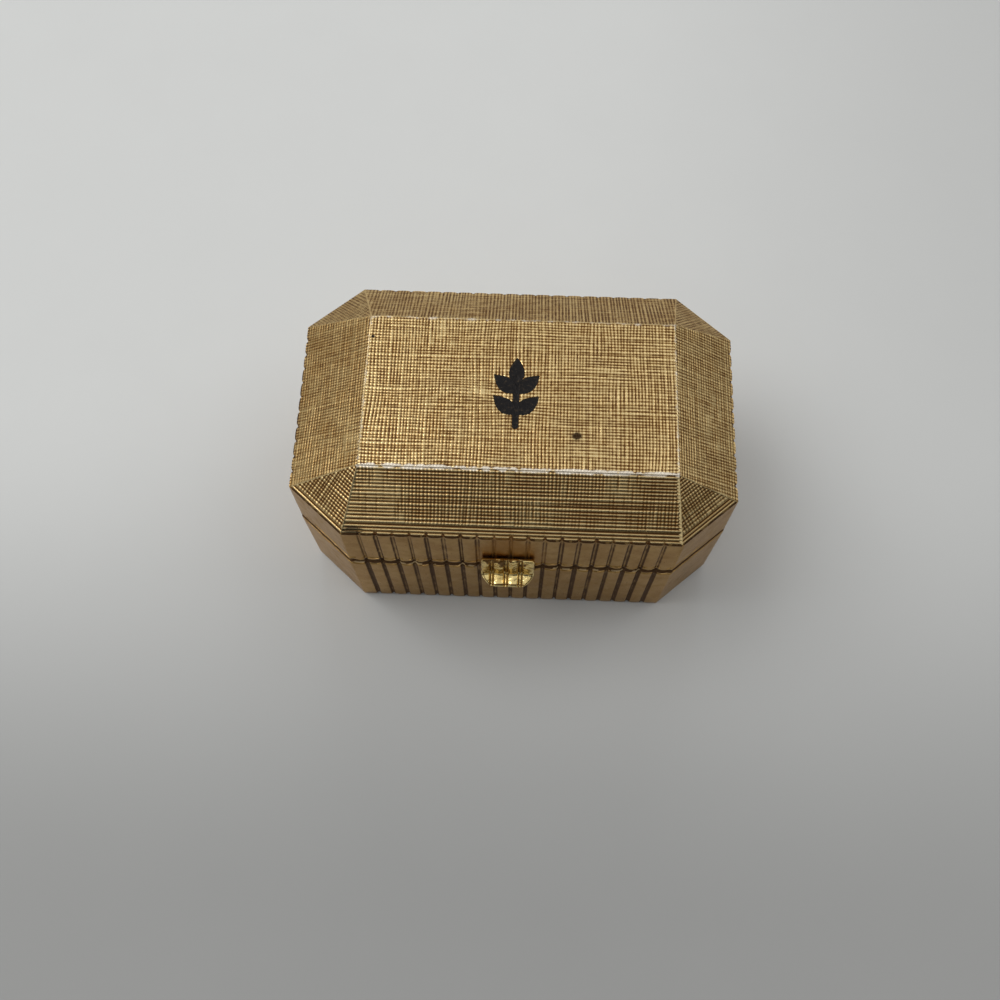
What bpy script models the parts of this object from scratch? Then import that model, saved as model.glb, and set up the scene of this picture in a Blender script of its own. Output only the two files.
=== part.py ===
"""Solid perfume compact: a small octagonal reeded casket with a bevelled lid on a hinge.

+X is right, +Y is back towards the hinge and +Z is up. The origin is the middle of the
base's underside. Lengths are in metres and angles in degrees.
"""

import math

import bmesh
import bpy
from mathutils import Vector

# Case outline, seen from above
CASE_WIDTH = 0.0380
CASE_DEPTH = 0.0240
CHAMFER_WIDTH = 0.0048
CHAMFER_DEPTH = 0.0042

# Heights of the case
BASE_HEIGHT = 0.0103
SEAM_GAP = 0.00015
SKIRT_HEIGHT = 0.0064
BEVEL_RISE = 0.00355
SIDE_BEVEL_RUN = 0.00585
FRONT_BEVEL_RUN = 0.00495
PANEL_SHIFT = 0.00035

# Reeding of the four long walls
REED_PITCH = 0.00142
CHANNEL_WIDTH = 0.0004
CHANNEL_DEPTH = 0.0002
REED_CROWN = 0.0001
FOOT_EASE = 0.00045

# Castings
WALL = 0.0012
FLOOR = 0.0012
CROWN_THICKNESS = 0.0014

# Hinge in the back wall
OPEN_ANGLE = 100.0
HINGE_LENGTH = 0.0190
HINGE_INSET = 0.0004
HINGE_WEB = 0.0007
KNUCKLE_RADIUS = 0.0009
KNUCKLE_GAP = 0.00015
COVE_CLEARANCE = 0.00012
STOP_CLEARANCE = 0.00008
PIN_RADIUS = 0.0004
PIN_CLEARANCE = 0.00008
PIN_HEAD_RADIUS = 0.00066
PIN_HEAD_LENGTH = 0.0003
KNUCKLES = (
    "base_knuckle_left",
    "lid_knuckle_left",
    "base_knuckle_middle",
    "lid_knuckle_right",
    "base_knuckle_right",
)

# Lining of the base
LEDGE_WIDTH = 0.0009
LEDGE_DEPTH = 0.0026
COLLAR_THICKNESS = 0.0008
COLLAR_RISE = 0.0010
COLLAR_CLEARANCE = 0.00015
SEAT_GAP = 0.00005
PAN_WALL = 0.0004
PAN_DEPTH = 0.0044
PAN_CLEARANCE = 0.00015
CAKE_DROP = 0.0010
CAKE_DOME = 0.0002
CATCH_RADIUS = 0.00025
CATCH_LENGTH = 0.0060
CATCH_RISE = 0.00008

# Thumb tab on the lid's front
TAB_WIDTH = 0.0047
TAB_SHIFT = -0.00025
TAB_ROOT = 0.0022
TAB_BEND = 70.0
TAB_BEND_RADIUS = 0.0015
TAB_LIP = 0.0002
TAB_THICKNESS = 0.0005
TAB_CORNER = 0.0013
TAB_REEDS = 4

# Enamel sprig let into the lid's panel
ENAMEL_DEPTH = 0.00025
ENAMEL_SINK = 0.00004
ENAMEL_CLEARANCE = 0.00003
SPRIG_HEIGHT = 0.0067
STEM_WIDTH = 0.0005
LEAF_LENGTH = 0.0026
LEAF_WIDTH = 0.0013
LEAF_ANGLE = 48.0
LEAF_SPACING = 0.0020
LEAF_PAIRS = 2

# Fineness of round work, and how far a cutter runs past what it cuts
ROUND_SEGMENTS = 24
ARC_STEPS = 7
CUT_MARGIN = 0.002

# Finishes: colour, roughness and metallic value
FINISHES = {
    "gold_tone": ((0.52, 0.36, 0.15), 0.34, 1.0),
    "black_enamel": ((0.012, 0.012, 0.014), 0.3, 0.0),
    "pan_metal": ((0.62, 0.60, 0.56), 0.35, 1.0),
    "perfume_wax": ((0.80, 0.66, 0.40), 0.45, 0.0),
    "hinge_steel": ((0.42, 0.40, 0.36), 0.3, 1.0),
}

# Places that follow from the sizes
LID_RIM = BASE_HEIGHT + SEAM_GAP
BEVEL_FOOT = LID_RIM + SKIRT_HEIGHT
CASE_HEIGHT = BEVEL_FOOT + BEVEL_RISE
HINGE_Y = CASE_DEPTH / 2 - HINGE_INSET
HINGE_Z = BASE_HEIGHT + SEAM_GAP / 2
COVE_RADIUS = KNUCKLE_RADIUS + COVE_CLEARANCE
BACK_WALL = HINGE_INSET + COVE_RADIUS + HINGE_WEB
PIN_HEAD_SEAT = HINGE_LENGTH / 2 + SEAT_GAP
LEDGE_Z = BASE_HEIGHT - LEDGE_DEPTH
UNDER_BRIM = LEDGE_Z + SEAT_GAP
BRIM_TOP = UNDER_BRIM + PAN_WALL
PAN_BOTTOM = BRIM_TOP - PAN_DEPTH
CUP_INSET = LEDGE_WIDTH + PAN_CLEARANCE
COLLAR_TOP = BASE_HEIGHT + COLLAR_RISE
CATCH_Y = CATCH_RADIUS - CATCH_RISE - (CASE_DEPTH / 2 - WALL - COLLAR_CLEARANCE)
CATCH_Z = BASE_HEIGHT + COLLAR_RISE / 2
TAB_BACK = -(CASE_DEPTH / 2 + SEAT_GAP)


def clear_scene():
    """Removes everything that the scene starts with."""
    for obj in list(bpy.data.objects):
        bpy.data.objects.remove(obj, do_unlink=True)


def material(name, colour, roughness, metallic):
    """A Principled material of one colour."""
    made = bpy.data.materials.new(name)
    made.use_nodes = True
    shader = made.node_tree.nodes["Principled BSDF"]
    shader.inputs["Base Color"].default_value = (*colour, 1.0)
    shader.inputs["Roughness"].default_value = roughness
    shader.inputs["Metallic"].default_value = metallic
    made.diffuse_color = (*colour, 1.0)
    return made


def add_object(name, mesh_maker, finish=None, smooth=False):
    """Makes an object from a bmesh. Without a finish it is a hidden cutter."""
    mesh = bpy.data.meshes.new(name)
    bmesh.ops.recalc_face_normals(mesh_maker, faces=mesh_maker.faces)
    mesh_maker.to_mesh(mesh)
    mesh_maker.free()
    obj = bpy.data.objects.new(name, mesh)
    bpy.context.scene.collection.objects.link(obj)
    if smooth:
        mesh.shade_smooth()
        mesh.set_sharp_from_angle(angle=math.radians(35))
    if finish:
        mesh.materials.append(finish)
    else:
        obj.hide_render = True
        obj.display_type = "WIRE"
    return obj


def boolean(obj, operation, other):
    """Adds a live Boolean of another object."""
    modifier = obj.modifiers.new(f"{operation.lower()} {other.name}", "BOOLEAN")
    modifier.operation = operation
    modifier.solver = "EXACT"
    modifier.object = other


def loft(rings, closed=False):
    """A bmesh skinned over rings of equally many points.

    A closed loft joins its last ring to its first. An open one is capped at both ends.
    """
    shape = bmesh.new()
    rows = [[shape.verts.new(point) for point in ring] for ring in rings]
    spans = list(zip(rows, rows[1:]))
    if closed:
        spans.append((rows[-1], rows[0]))
    else:
        shape.faces.new(rows[0][::-1])
        shape.faces.new(rows[-1])
    for lower, upper in spans:
        for i in range(len(lower)):
            j = (i + 1) % len(lower)
            shape.faces.new((lower[i], lower[j], upper[j], upper[i]))
    return shape


def at_height(outline, z):
    """A flat outline as a ring of points at one height."""
    return [Vector((x, y, z)) for x, y in outline]


def octagon(side, front, back, diagonal):
    """Corners of the case's outline, drawn in by these amounts, counter-clockwise."""
    half_width = CASE_WIDTH / 2 - side
    y_front = CASE_DEPTH / 2 - front
    y_back = CASE_DEPTH / 2 - back
    reach = CHAMFER_DEPTH * CASE_WIDTH / 2 + CHAMFER_WIDTH * CASE_DEPTH / 2
    reach -= CHAMFER_DEPTH * CHAMFER_WIDTH
    reach -= diagonal * math.hypot(CHAMFER_DEPTH, CHAMFER_WIDTH)
    x_front = (reach - CHAMFER_WIDTH * y_front) / CHAMFER_DEPTH
    x_back = (reach - CHAMFER_WIDTH * y_back) / CHAMFER_DEPTH
    y_side = (reach - CHAMFER_DEPTH * half_width) / CHAMFER_WIDTH
    return [
        (-x_front, -y_front),
        (x_front, -y_front),
        (half_width, -y_side),
        (half_width, y_side),
        (x_back, y_back),
        (-x_back, y_back),
        (-half_width, y_side),
        (-half_width, -y_side),
    ]


def inner_octagon(inset):
    """The castings' inner outline drawn in by inset, behind their thicker back wall."""
    side = WALL + inset
    return octagon(side, side, BACK_WALL + inset, side)


def reed_stations(length, count):
    """Distances along a run of reeds, each with its depth below the reeds' crests.

    The reeds are of equal width and slightly crowned, with a flat channel between them.
    """
    pitch = length / count
    shoulder = CHANNEL_WIDTH / 4
    stations = []
    for reed in range(count):
        first = reed == 0
        last = reed == count - 1
        start = reed * pitch + (0 if first else CHANNEL_WIDTH / 2)
        end = (reed + 1) * pitch - (0 if last else CHANNEL_WIDTH / 2)
        for share in (0.0, 0.3, 0.7, 1.0):
            if (first and share == 0) or (last and share == 1):
                continue
            stations.append((start + share * (end - start), REED_CROWN * (2 * share - 1) ** 2))
        if not last:
            stations.append((end + shoulder, CHANNEL_DEPTH))
            stations.append((end + CHANNEL_WIDTH - shoulder, CHANNEL_DEPTH))
    return stations


def reeded_outline(inset=0.0):
    """The case's outline, with whole reeds at about REED_PITCH on its four long walls.

    The four chamfers between them are plain.
    """
    nominal = octagon(0, 0, 0, 0)
    corners = octagon(inset, inset, inset, inset)
    outline = []
    for i, corner in enumerate(corners):
        outline.append(corner)
        if i % 2:
            continue
        start = Vector(corner)
        run = Vector(corners[(i + 1) % 8]) - start
        inwards = Vector((-run.y, run.x)).normalized()
        length = (Vector(nominal[(i + 1) % 8]) - Vector(nominal[i])).length
        count = max(1, round(length / REED_PITCH))
        for distance, depth in reed_stations(length, count):
            point = start + run * (distance / length) + inwards * depth
            outline.append((point.x, point.y))
    return outline


def prism(outline, bottom, top):
    """A bmesh of a flat outline carried straight up from one height to another."""
    return loft([at_height(outline, bottom), at_height(outline, top)])


def roof_solid(name, lowering, bottom):
    """A closed solid under the lid's panel, bevels and corner facets, lowered by an amount.

    The slopes run on past their foot, so that the solid is wider than the lid.
    """
    run_on = 1.3
    panel_x = CASE_WIDTH / 2 - SIDE_BEVEL_RUN
    panel_y = CASE_DEPTH / 2 - FRONT_BEVEL_RUN
    top = CASE_HEIGHT - lowering
    shape = bmesh.new()
    wide = []
    low = []
    for x, y in octagon(0, 0, 0, 0):
        near_x = math.copysign(panel_x, x) + PANEL_SHIFT
        near_y = math.copysign(panel_y, y)
        far_x = near_x + run_on * (x - near_x)
        far_y = near_y + run_on * (y - near_y)
        wide.append(shape.verts.new((far_x, far_y, top - run_on * BEVEL_RISE)))
        low.append(shape.verts.new((far_x, far_y, bottom)))
    signs = ((-1, -1), (1, -1), (1, 1), (-1, 1))
    panel = [shape.verts.new((sx * panel_x + PANEL_SHIFT, sy * panel_y, top)) for sx, sy in signs]
    shape.faces.new(panel)
    shape.faces.new(low[::-1])
    for i in range(8):
        j = (i + 1) % 8
        here = panel[(i + 1) // 2 % 4]
        there = panel[(j + 1) // 2 % 4]
        slope = (wide[i], wide[j], there) if here is there else (wide[i], wide[j], there, here)
        shape.faces.new(slope)
        shape.faces.new((low[i], low[j], wide[j], wide[i]))
    return add_object(name, shape)


def bar_along_x(profile, left, right):
    """A bmesh of a profile of (y, z) points carried from left to right."""
    return loft([[Vector((x, y, z)) for y, z in profile] for x in (left, right)])


def circle(centre_y, centre_z, radius):
    """A round profile of (y, z) points."""
    steps = [math.tau * i / ROUND_SEGMENTS for i in range(ROUND_SEGMENTS)]
    return [(centre_y + radius * math.cos(a), centre_z + radius * math.sin(a)) for a in steps]


def turned(centre_y, centre_z, stations, closed=False):
    """A bmesh turned about a line along X, through (x, radius) stations."""
    rings = [
        [Vector((x, y, z)) for y, z in circle(centre_y, centre_z, radius)]
        for x, radius in stations
    ]
    return loft(rings, closed)


def hinge_cutters():
    """The round cove that holds the knuckles, and the wedge that lets the lid fall back.

    The wedge's two faces are the bearing faces, which meet when the lid stands open. They
    pass the axis at STOP_CLEARANCE, so at the open limit twice that is left between them.
    """
    half = PIN_HEAD_SEAT + PIN_HEAD_LENGTH + COVE_CLEARANCE
    stations = [(-half, COVE_RADIUS), (half, COVE_RADIUS)]
    cove = add_object("hinge_cove", turned(HINGE_Y, HINGE_Z, stations))
    lean = math.radians(OPEN_ANGLE / 2)
    apex = HINGE_Y - STOP_CLEARANCE / math.sin(lean)
    reach = CASE_DEPTH / 2 + CUT_MARGIN
    spread = (reach - apex) * math.tan(lean)
    profile = [(apex, HINGE_Z), (reach, HINGE_Z - spread), (reach, HINGE_Z + spread)]
    side = CASE_WIDTH / 2 + CUT_MARGIN
    return [cove, add_object("bearing_wedge", bar_along_x(profile, -side, side))]


def leaf_outline(base, angle, grow):
    """A pointed leaf from its base, leaning from +Y by an angle, wider all round by grow."""
    along = Vector((math.sin(angle), math.cos(angle)))
    across = Vector((along.y, -along.x))
    steps = 10
    edge = []
    for i in range(steps + 1):
        share = i / steps
        half = (LEAF_WIDTH / 2 + grow) * math.sin(math.pi * share**0.85)
        edge.append((share * (LEAF_LENGTH + 2 * grow) - grow, half))
    right = [base + along * length + across * half for length, half in edge]
    left = [base + along * length - across * half for length, half in edge[1:-1]]
    return [tuple(point) for point in right[::-1] + left]


def stem_outline(bottom, top, grow):
    """An upright stem with round ends."""
    radius = STEM_WIDTH / 2 + grow
    outline = []
    for middle, start in ((top - STEM_WIDTH / 2, 0.0), (bottom + STEM_WIDTH / 2, math.pi)):
        for i in range(ARC_STEPS + 1):
            angle = start + math.pi * i / ARC_STEPS
            outline.append((radius * math.cos(angle), middle + radius * math.sin(angle)))
    return outline


def sprig(name, bottom, top, grow, finish=None):
    """A sprig of leaves on a stem, as one solid between two heights."""
    foot = -SPRIG_HEIGHT / 2
    tip_leaf = SPRIG_HEIGHT / 2 - LEAF_LENGTH
    outlines = [leaf_outline(Vector((0, tip_leaf)), 0, grow)]
    for pair in range(LEAF_PAIRS):
        base = Vector((0, tip_leaf - (pair + 0.4) * LEAF_SPACING))
        for lean in (LEAF_ANGLE, -LEAF_ANGLE):
            outlines.append(leaf_outline(base, math.radians(lean), grow))
    stem = prism(stem_outline(foot, tip_leaf + LEAF_LENGTH / 3, grow), bottom, top)
    made = add_object(name, stem, finish)
    for i, outline in enumerate(outlines):
        boolean(made, "UNION", add_object(f"{name}_leaf_{i}", prism(outline, bottom, top)))
    return made


def base_shell(finish, cutters):
    """The lower casting: reeded walls, a floor with an eased foot, and a ledge inside."""
    rings = []
    for turn in (0, 45, 90):
        angle = math.radians(turn)
        outline = reeded_outline(FOOT_EASE * (1 - math.sin(angle)))
        rings.append(at_height(outline, FOOT_EASE * (1 - math.cos(angle))))
    rings.append(at_height(reeded_outline(), BASE_HEIGHT))
    shell = add_object("base_shell", loft(rings), finish)
    top = BASE_HEIGHT + CUT_MARGIN
    collar_seat = add_object("collar_seat", prism(inner_octagon(0), LEDGE_Z, top))
    pan_well = add_object("pan_well", prism(inner_octagon(LEDGE_WIDTH), FLOOR, top))
    for cutter in (collar_seat, pan_well, *cutters):
        boolean(shell, "DIFFERENCE", cutter)
    return shell


def catch_groove(name, clearance):
    """A cutter that leaves this clearance round the catch bead."""
    half = CATCH_LENGTH / 2 + clearance
    radius = CATCH_RADIUS + clearance
    return add_object(name, turned(CATCH_Y, CATCH_Z, [(-half, radius), (half, radius)]))


def inner_collar(finish):
    """The ring that stands above the base's rim and centres the closed lid."""
    outer = inner_octagon(COLLAR_CLEARANCE)
    inner = inner_octagon(COLLAR_CLEARANCE + COLLAR_THICKNESS)
    ease = COLLAR_THICKNESS / 4
    rings = [
        at_height(outer, BRIM_TOP + SEAT_GAP),
        at_height(outer, COLLAR_TOP - ease),
        at_height(inner_octagon(COLLAR_CLEARANCE + ease), COLLAR_TOP),
        at_height(inner, COLLAR_TOP),
        at_height(inner, BRIM_TOP + SEAT_GAP),
    ]
    collar = add_object("inner_collar", loft(rings, closed=True), finish)
    boolean(collar, "DIFFERENCE", catch_groove("bead_seat", SEAT_GAP))
    return collar


def catch_bead(finish):
    """The small bar let into the collar's front, over which the lid snaps."""
    half = CATCH_LENGTH / 2
    end = CATCH_RADIUS / 2
    stations = [
        (-half, CATCH_RADIUS - end),
        (end - half, CATCH_RADIUS),
        (half - end, CATCH_RADIUS),
        (half, CATCH_RADIUS - end),
    ]
    return add_object("catch_bead", turned(CATCH_Y, CATCH_Z, stations), finish, smooth=True)


def perfume_pan(finish):
    """The pressed pan: a cup that hangs in the base by a brim on the ledge."""
    inside = CUP_INSET + PAN_WALL
    rings = [
        at_height(inner_octagon(CUP_INSET + PAN_WALL), PAN_BOTTOM),
        at_height(inner_octagon(CUP_INSET), PAN_BOTTOM + PAN_WALL),
        at_height(inner_octagon(CUP_INSET), UNDER_BRIM),
        at_height(inner_octagon(COLLAR_CLEARANCE), UNDER_BRIM),
        at_height(inner_octagon(COLLAR_CLEARANCE), BRIM_TOP),
        at_height(inner_octagon(inside), BRIM_TOP),
        at_height(inner_octagon(inside), PAN_BOTTOM + 2 * PAN_WALL),
        at_height(inner_octagon(inside + PAN_WALL), PAN_BOTTOM + PAN_WALL),
    ]
    return add_object("perfume_pan", loft(rings), finish)


def perfume_cake(finish):
    """The wax poured into the pan, with its top slightly crowned."""
    edge = CUP_INSET + PAN_WALL + SEAT_GAP
    bottom = PAN_BOTTOM + PAN_WALL + SEAT_GAP
    rim = BRIM_TOP - CAKE_DROP
    outline = inner_octagon(edge)
    rings = [
        at_height(inner_octagon(edge + PAN_WALL), bottom),
        at_height(outline, bottom + PAN_WALL),
    ]
    for share in (1.0, 0.97, 0.85, 0.6, 0.3):
        drawn_in = [(x * share, y * share) for x, y in outline]
        rings.append(at_height(drawn_in, rim + CAKE_DOME * (1 - share**4)))
    return add_object("perfume_cake", loft(rings), finish, smooth=True)


def knuckle(name, left, right, finish):
    """One hinge knuckle: a short tube round the pin."""
    bore = PIN_RADIUS + PIN_CLEARANCE
    stations = [(left, KNUCKLE_RADIUS), (right, KNUCKLE_RADIUS), (right, bore), (left, bore)]
    return add_object(name, turned(HINGE_Y, HINGE_Z, stations, closed=True), finish, smooth=True)


def hinge_pin(finish):
    """The pin through all the knuckles, with a domed head peened on each end."""
    head = [(PIN_HEAD_SEAT, PIN_RADIUS)]
    for turn in (0, 35, 70):
        angle = math.radians(turn)
        x = PIN_HEAD_SEAT + PIN_HEAD_LENGTH * math.sin(angle)
        head.append((x, PIN_HEAD_RADIUS * math.cos(angle)))
    stations = [(-x, radius) for x, radius in reversed(head)] + head
    return add_object("hinge_pin", turned(HINGE_Y, HINGE_Z, stations), finish, smooth=True)


def lid_shell(finish, cutters):
    """The upper casting: a reeded skirt under the bevelled roof, hollow inside."""
    body = prism(reeded_outline(), LID_RIM, CASE_HEIGHT + CUT_MARGIN)
    shell = add_object("lid_shell", body, finish)
    boolean(shell, "INTERSECT", roof_solid("roof", 0, BASE_HEIGHT - CUT_MARGIN))
    hollow = add_object("lid_hollow", prism(inner_octagon(0), BASE_HEIGHT, CASE_HEIGHT))
    ceiling = roof_solid("ceiling", CROWN_THICKNESS, BASE_HEIGHT - CUT_MARGIN)
    boolean(hollow, "INTERSECT", ceiling)
    for cutter in (hollow, *cutters):
        boolean(shell, "DIFFERENCE", cutter)
    return shell


def tab_stations(lip):
    """Points down the tab's back face, each as (y, z) with how far it has turned outwards.

    It stands upright on the lid, bends outwards below the seam and ends in a straight lip.
    """
    stations = [(TAB_BACK, LID_RIM + TAB_ROOT + CUT_MARGIN, 0.0)]
    for i in range(ARC_STEPS + 1):
        angle = math.radians(TAB_BEND * i / ARC_STEPS)
        y = TAB_BACK - TAB_BEND_RADIUS * (1 - math.cos(angle))
        z = BASE_HEIGHT - TAB_BEND_RADIUS * math.sin(angle)
        stations.append((y, z, angle))
    y, z, angle = stations[-1]
    stations.append((y - lip * math.sin(angle), z - lip * math.cos(angle), angle))
    return stations


def tab_outline(length):
    """The tab's outline as (x, distance from its top): nearly square above and round below."""
    half = TAB_WIDTH / 2
    small = TAB_CORNER / 5
    corners = (
        (half - small, small, small, -90),
        (half - TAB_CORNER, length - TAB_CORNER, TAB_CORNER, 0),
        (TAB_CORNER - half, length - TAB_CORNER, TAB_CORNER, 90),
        (small - half, small, small, 180),
    )
    outline = []
    for x, fall, radius, start in corners:
        for i in range(ARC_STEPS + 1):
            angle = math.radians(start + 90 * i / ARC_STEPS)
            outline.append((TAB_SHIFT + x + radius * math.cos(angle), fall + radius * math.sin(angle)))
    return outline


def thumb_tab(finish):
    """The tab on the lid's front: a reeded tongue that bends outwards below the seam.

    A reeded bar is swept along the bend, and then trimmed to the tab's outline by a solid that
    leans by half the bend, so that it cuts the upright top and the bent tip equally square.
    """
    left = TAB_SHIFT - TAB_WIDTH / 2
    right = TAB_SHIFT + TAB_WIDTH / 2
    section = [(left - CUT_MARGIN, TAB_THICKNESS)]
    for distance, depth in reed_stations(TAB_WIDTH, TAB_REEDS):
        section.append((left + distance, TAB_THICKNESS - depth))
    section += [(right + CUT_MARGIN, TAB_THICKNESS), (right + CUT_MARGIN, 0), (left - CUT_MARGIN, 0)]
    rings = []
    for y, z, angle in tab_stations(TAB_LIP + CUT_MARGIN):
        forward = -math.cos(angle)
        upward = math.sin(angle)
        rings.append([Vector((x, y + forward * out, z + upward * out)) for x, out in section])
    tab = add_object("thumb_tab", loft(rings), finish)
    top = Vector((0, TAB_BACK, LID_RIM + TAB_ROOT))
    tip_y, tip_z, _ = tab_stations(TAB_LIP)[-1]
    lean = math.radians(TAB_BEND / 2)
    down = Vector((0, -math.sin(lean), -math.cos(lean)))
    ahead = Vector((0, down.z, -down.y))
    fall = (Vector((0, tip_y, tip_z)) - top).dot(down)
    trim = []
    for out in (3 * CUT_MARGIN, -CUT_MARGIN):
        corner = top + ahead * out
        trim.append([corner + down * run + Vector((x, 0, 0)) for x, run in tab_outline(fall)])
    boolean(tab, "INTERSECT", add_object("tab_trim", loft(trim)))
    return tab


def hang_on_pivot(pieces):
    """Parents the lid's pieces to an empty on the hinge axis, without moving them."""
    pivot = bpy.data.objects.new("lid_hinge_axis", None)
    pivot.location = (0, HINGE_Y, HINGE_Z)
    pivot.empty_display_size = HINGE_LENGTH / 2
    bpy.context.scene.collection.objects.link(pivot)
    for piece in pieces:
        piece.parent = pivot
        piece.location = -pivot.location


def build():
    """Makes every piece of the compact."""
    clear_scene()
    finishes = {name: material(name, *values) for name, values in FINISHES.items()}
    gold = finishes["gold_tone"]
    cutters = hinge_cutters()

    base_shell(gold, cutters)
    inner_collar(gold)
    catch_bead(gold)
    perfume_pan(finishes["pan_metal"])
    perfume_cake(finishes["perfume_wax"])
    hinge_pin(finishes["hinge_steel"])

    recess_floor = CASE_HEIGHT - ENAMEL_DEPTH
    recess = sprig("sprig_recess", recess_floor, CASE_HEIGHT + CUT_MARGIN, ENAMEL_CLEARANCE)
    snap_groove = catch_groove("snap_groove", COLLAR_CLEARANCE)
    lid = [
        lid_shell(gold, [*cutters, recess, snap_groove]),
        sprig(
            "enamel_sprig",
            recess_floor + ENAMEL_CLEARANCE,
            CASE_HEIGHT - ENAMEL_SINK,
            0,
            finishes["black_enamel"],
        ),
        thumb_tab(gold),
    ]

    span = (HINGE_LENGTH + KNUCKLE_GAP) / len(KNUCKLES)
    for i, name in enumerate(KNUCKLES):
        left = span * i - HINGE_LENGTH / 2
        piece = knuckle(name, left, left + span - KNUCKLE_GAP, gold)
        if name.startswith("lid"):
            lid.append(piece)
    hang_on_pivot(lid)


build()
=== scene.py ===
"""Solid perfume compact: its fine surfaces and finishes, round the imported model.

Lengths are in metres, +X is right, +Y is back towards the hinge and +Z is up. The case is an
octagonal casting in gold tone with reeded walls. Its lid has a flat panel, four bevels and four
corner facets, all cut with a graver's crossed lines, and a black enamel sprig in the panel.
"""

import logging
import math
from dataclasses import dataclass, field
from enum import Enum

import bpy
import numpy as np
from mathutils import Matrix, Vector


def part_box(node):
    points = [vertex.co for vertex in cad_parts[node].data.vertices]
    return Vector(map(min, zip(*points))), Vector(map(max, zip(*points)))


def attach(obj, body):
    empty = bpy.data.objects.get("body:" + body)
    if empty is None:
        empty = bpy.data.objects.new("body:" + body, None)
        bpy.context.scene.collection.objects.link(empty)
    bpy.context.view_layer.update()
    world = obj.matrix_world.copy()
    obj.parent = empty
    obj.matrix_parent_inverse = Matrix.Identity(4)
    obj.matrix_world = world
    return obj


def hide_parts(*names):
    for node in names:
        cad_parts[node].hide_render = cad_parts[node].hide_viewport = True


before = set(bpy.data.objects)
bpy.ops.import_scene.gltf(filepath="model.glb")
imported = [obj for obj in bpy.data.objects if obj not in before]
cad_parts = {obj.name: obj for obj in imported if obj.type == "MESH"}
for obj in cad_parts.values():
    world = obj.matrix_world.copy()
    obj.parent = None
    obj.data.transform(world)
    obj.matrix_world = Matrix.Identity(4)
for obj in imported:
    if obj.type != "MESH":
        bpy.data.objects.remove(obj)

LOG = logging.getLogger("perfume_compact")
MM = 0.001
Array = np.ndarray
Amount = Array | float


class Wall(Enum):
    """The case's eight walls, each by the corner that it starts from, counter-clockwise."""

    FRONT = 0
    FRONT_RIGHT = 1
    RIGHT = 2
    BACK_RIGHT = 3
    BACK = 4
    BACK_LEFT = 5
    LEFT = 6
    FRONT_LEFT = 7

    @property
    def is_chamfer(self) -> bool:
        """Whether the wall is one of the four plain ones across the corners."""
        return self.value % 2 == 1

    @property
    def face(self) -> int:
        """Number of the lid's slope over the wall, where the flat panel is number 0."""
        return self.value + 1


PANEL = 0
SIDES = len(Wall)


def smooth_step(low: float, high: float, value: Amount) -> Array:
    """Goes from 0 at low to 1 at high, either way round: 3 s^2 - 2 s^3 of the clipped share s."""
    share = np.clip((value - low) / (high - low), 0.0, 1.0)
    return share * share * (3.0 - 2.0 * share)


class Noise:
    """Smooth value noise: seeded lattice values, blended between whole numbers."""

    SIZE = 64
    LAYERS = 3
    SHIFT_U = 17
    SHIFT_V = 5

    def __init__(self, seed: int) -> None:
        """Draws the lattice from its seed."""
        self.lattice = np.random.default_rng(seed).uniform(-1.0, 1.0, (self.SIZE, self.SIZE))

    def at(self, u: Amount, v: Amount) -> Array:
        """Noise from -1 to 1, whose features are about one unit across.

        Args:
            u: First coordinate of each point.
            v: Second coordinate of each point.

        Returns:
            The blend of the four lattice values round each point, by a smooth step each way.
        """
        u, v = np.broadcast_arrays(np.asarray(u, float), np.asarray(v, float))
        iu = np.floor(u).astype(int)
        iv = np.floor(v).astype(int)
        su = smooth_step(0.0, 1.0, u - iu)
        sv = smooth_step(0.0, 1.0, v - iv)
        low_u, low_v = iu % self.SIZE, iv % self.SIZE
        high_u, high_v = (iu + 1) % self.SIZE, (iv + 1) % self.SIZE
        near = self.lattice[low_u, low_v] * (1 - su) + self.lattice[high_u, low_v] * su
        far = self.lattice[low_u, high_v] * (1 - su) + self.lattice[high_u, high_v] * su
        return near * (1 - sv) + far * sv

    def layered(self, u: Amount, v: Amount) -> Array:
        """Sum of layers of noise, each shifted, twice as fine and half as strong as the last."""
        layers = range(self.LAYERS)
        return sum(self.at(u * 2**i + self.SHIFT_U * i, v * 2**i + self.SHIFT_V * i) / 2**i for i in layers)


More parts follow.
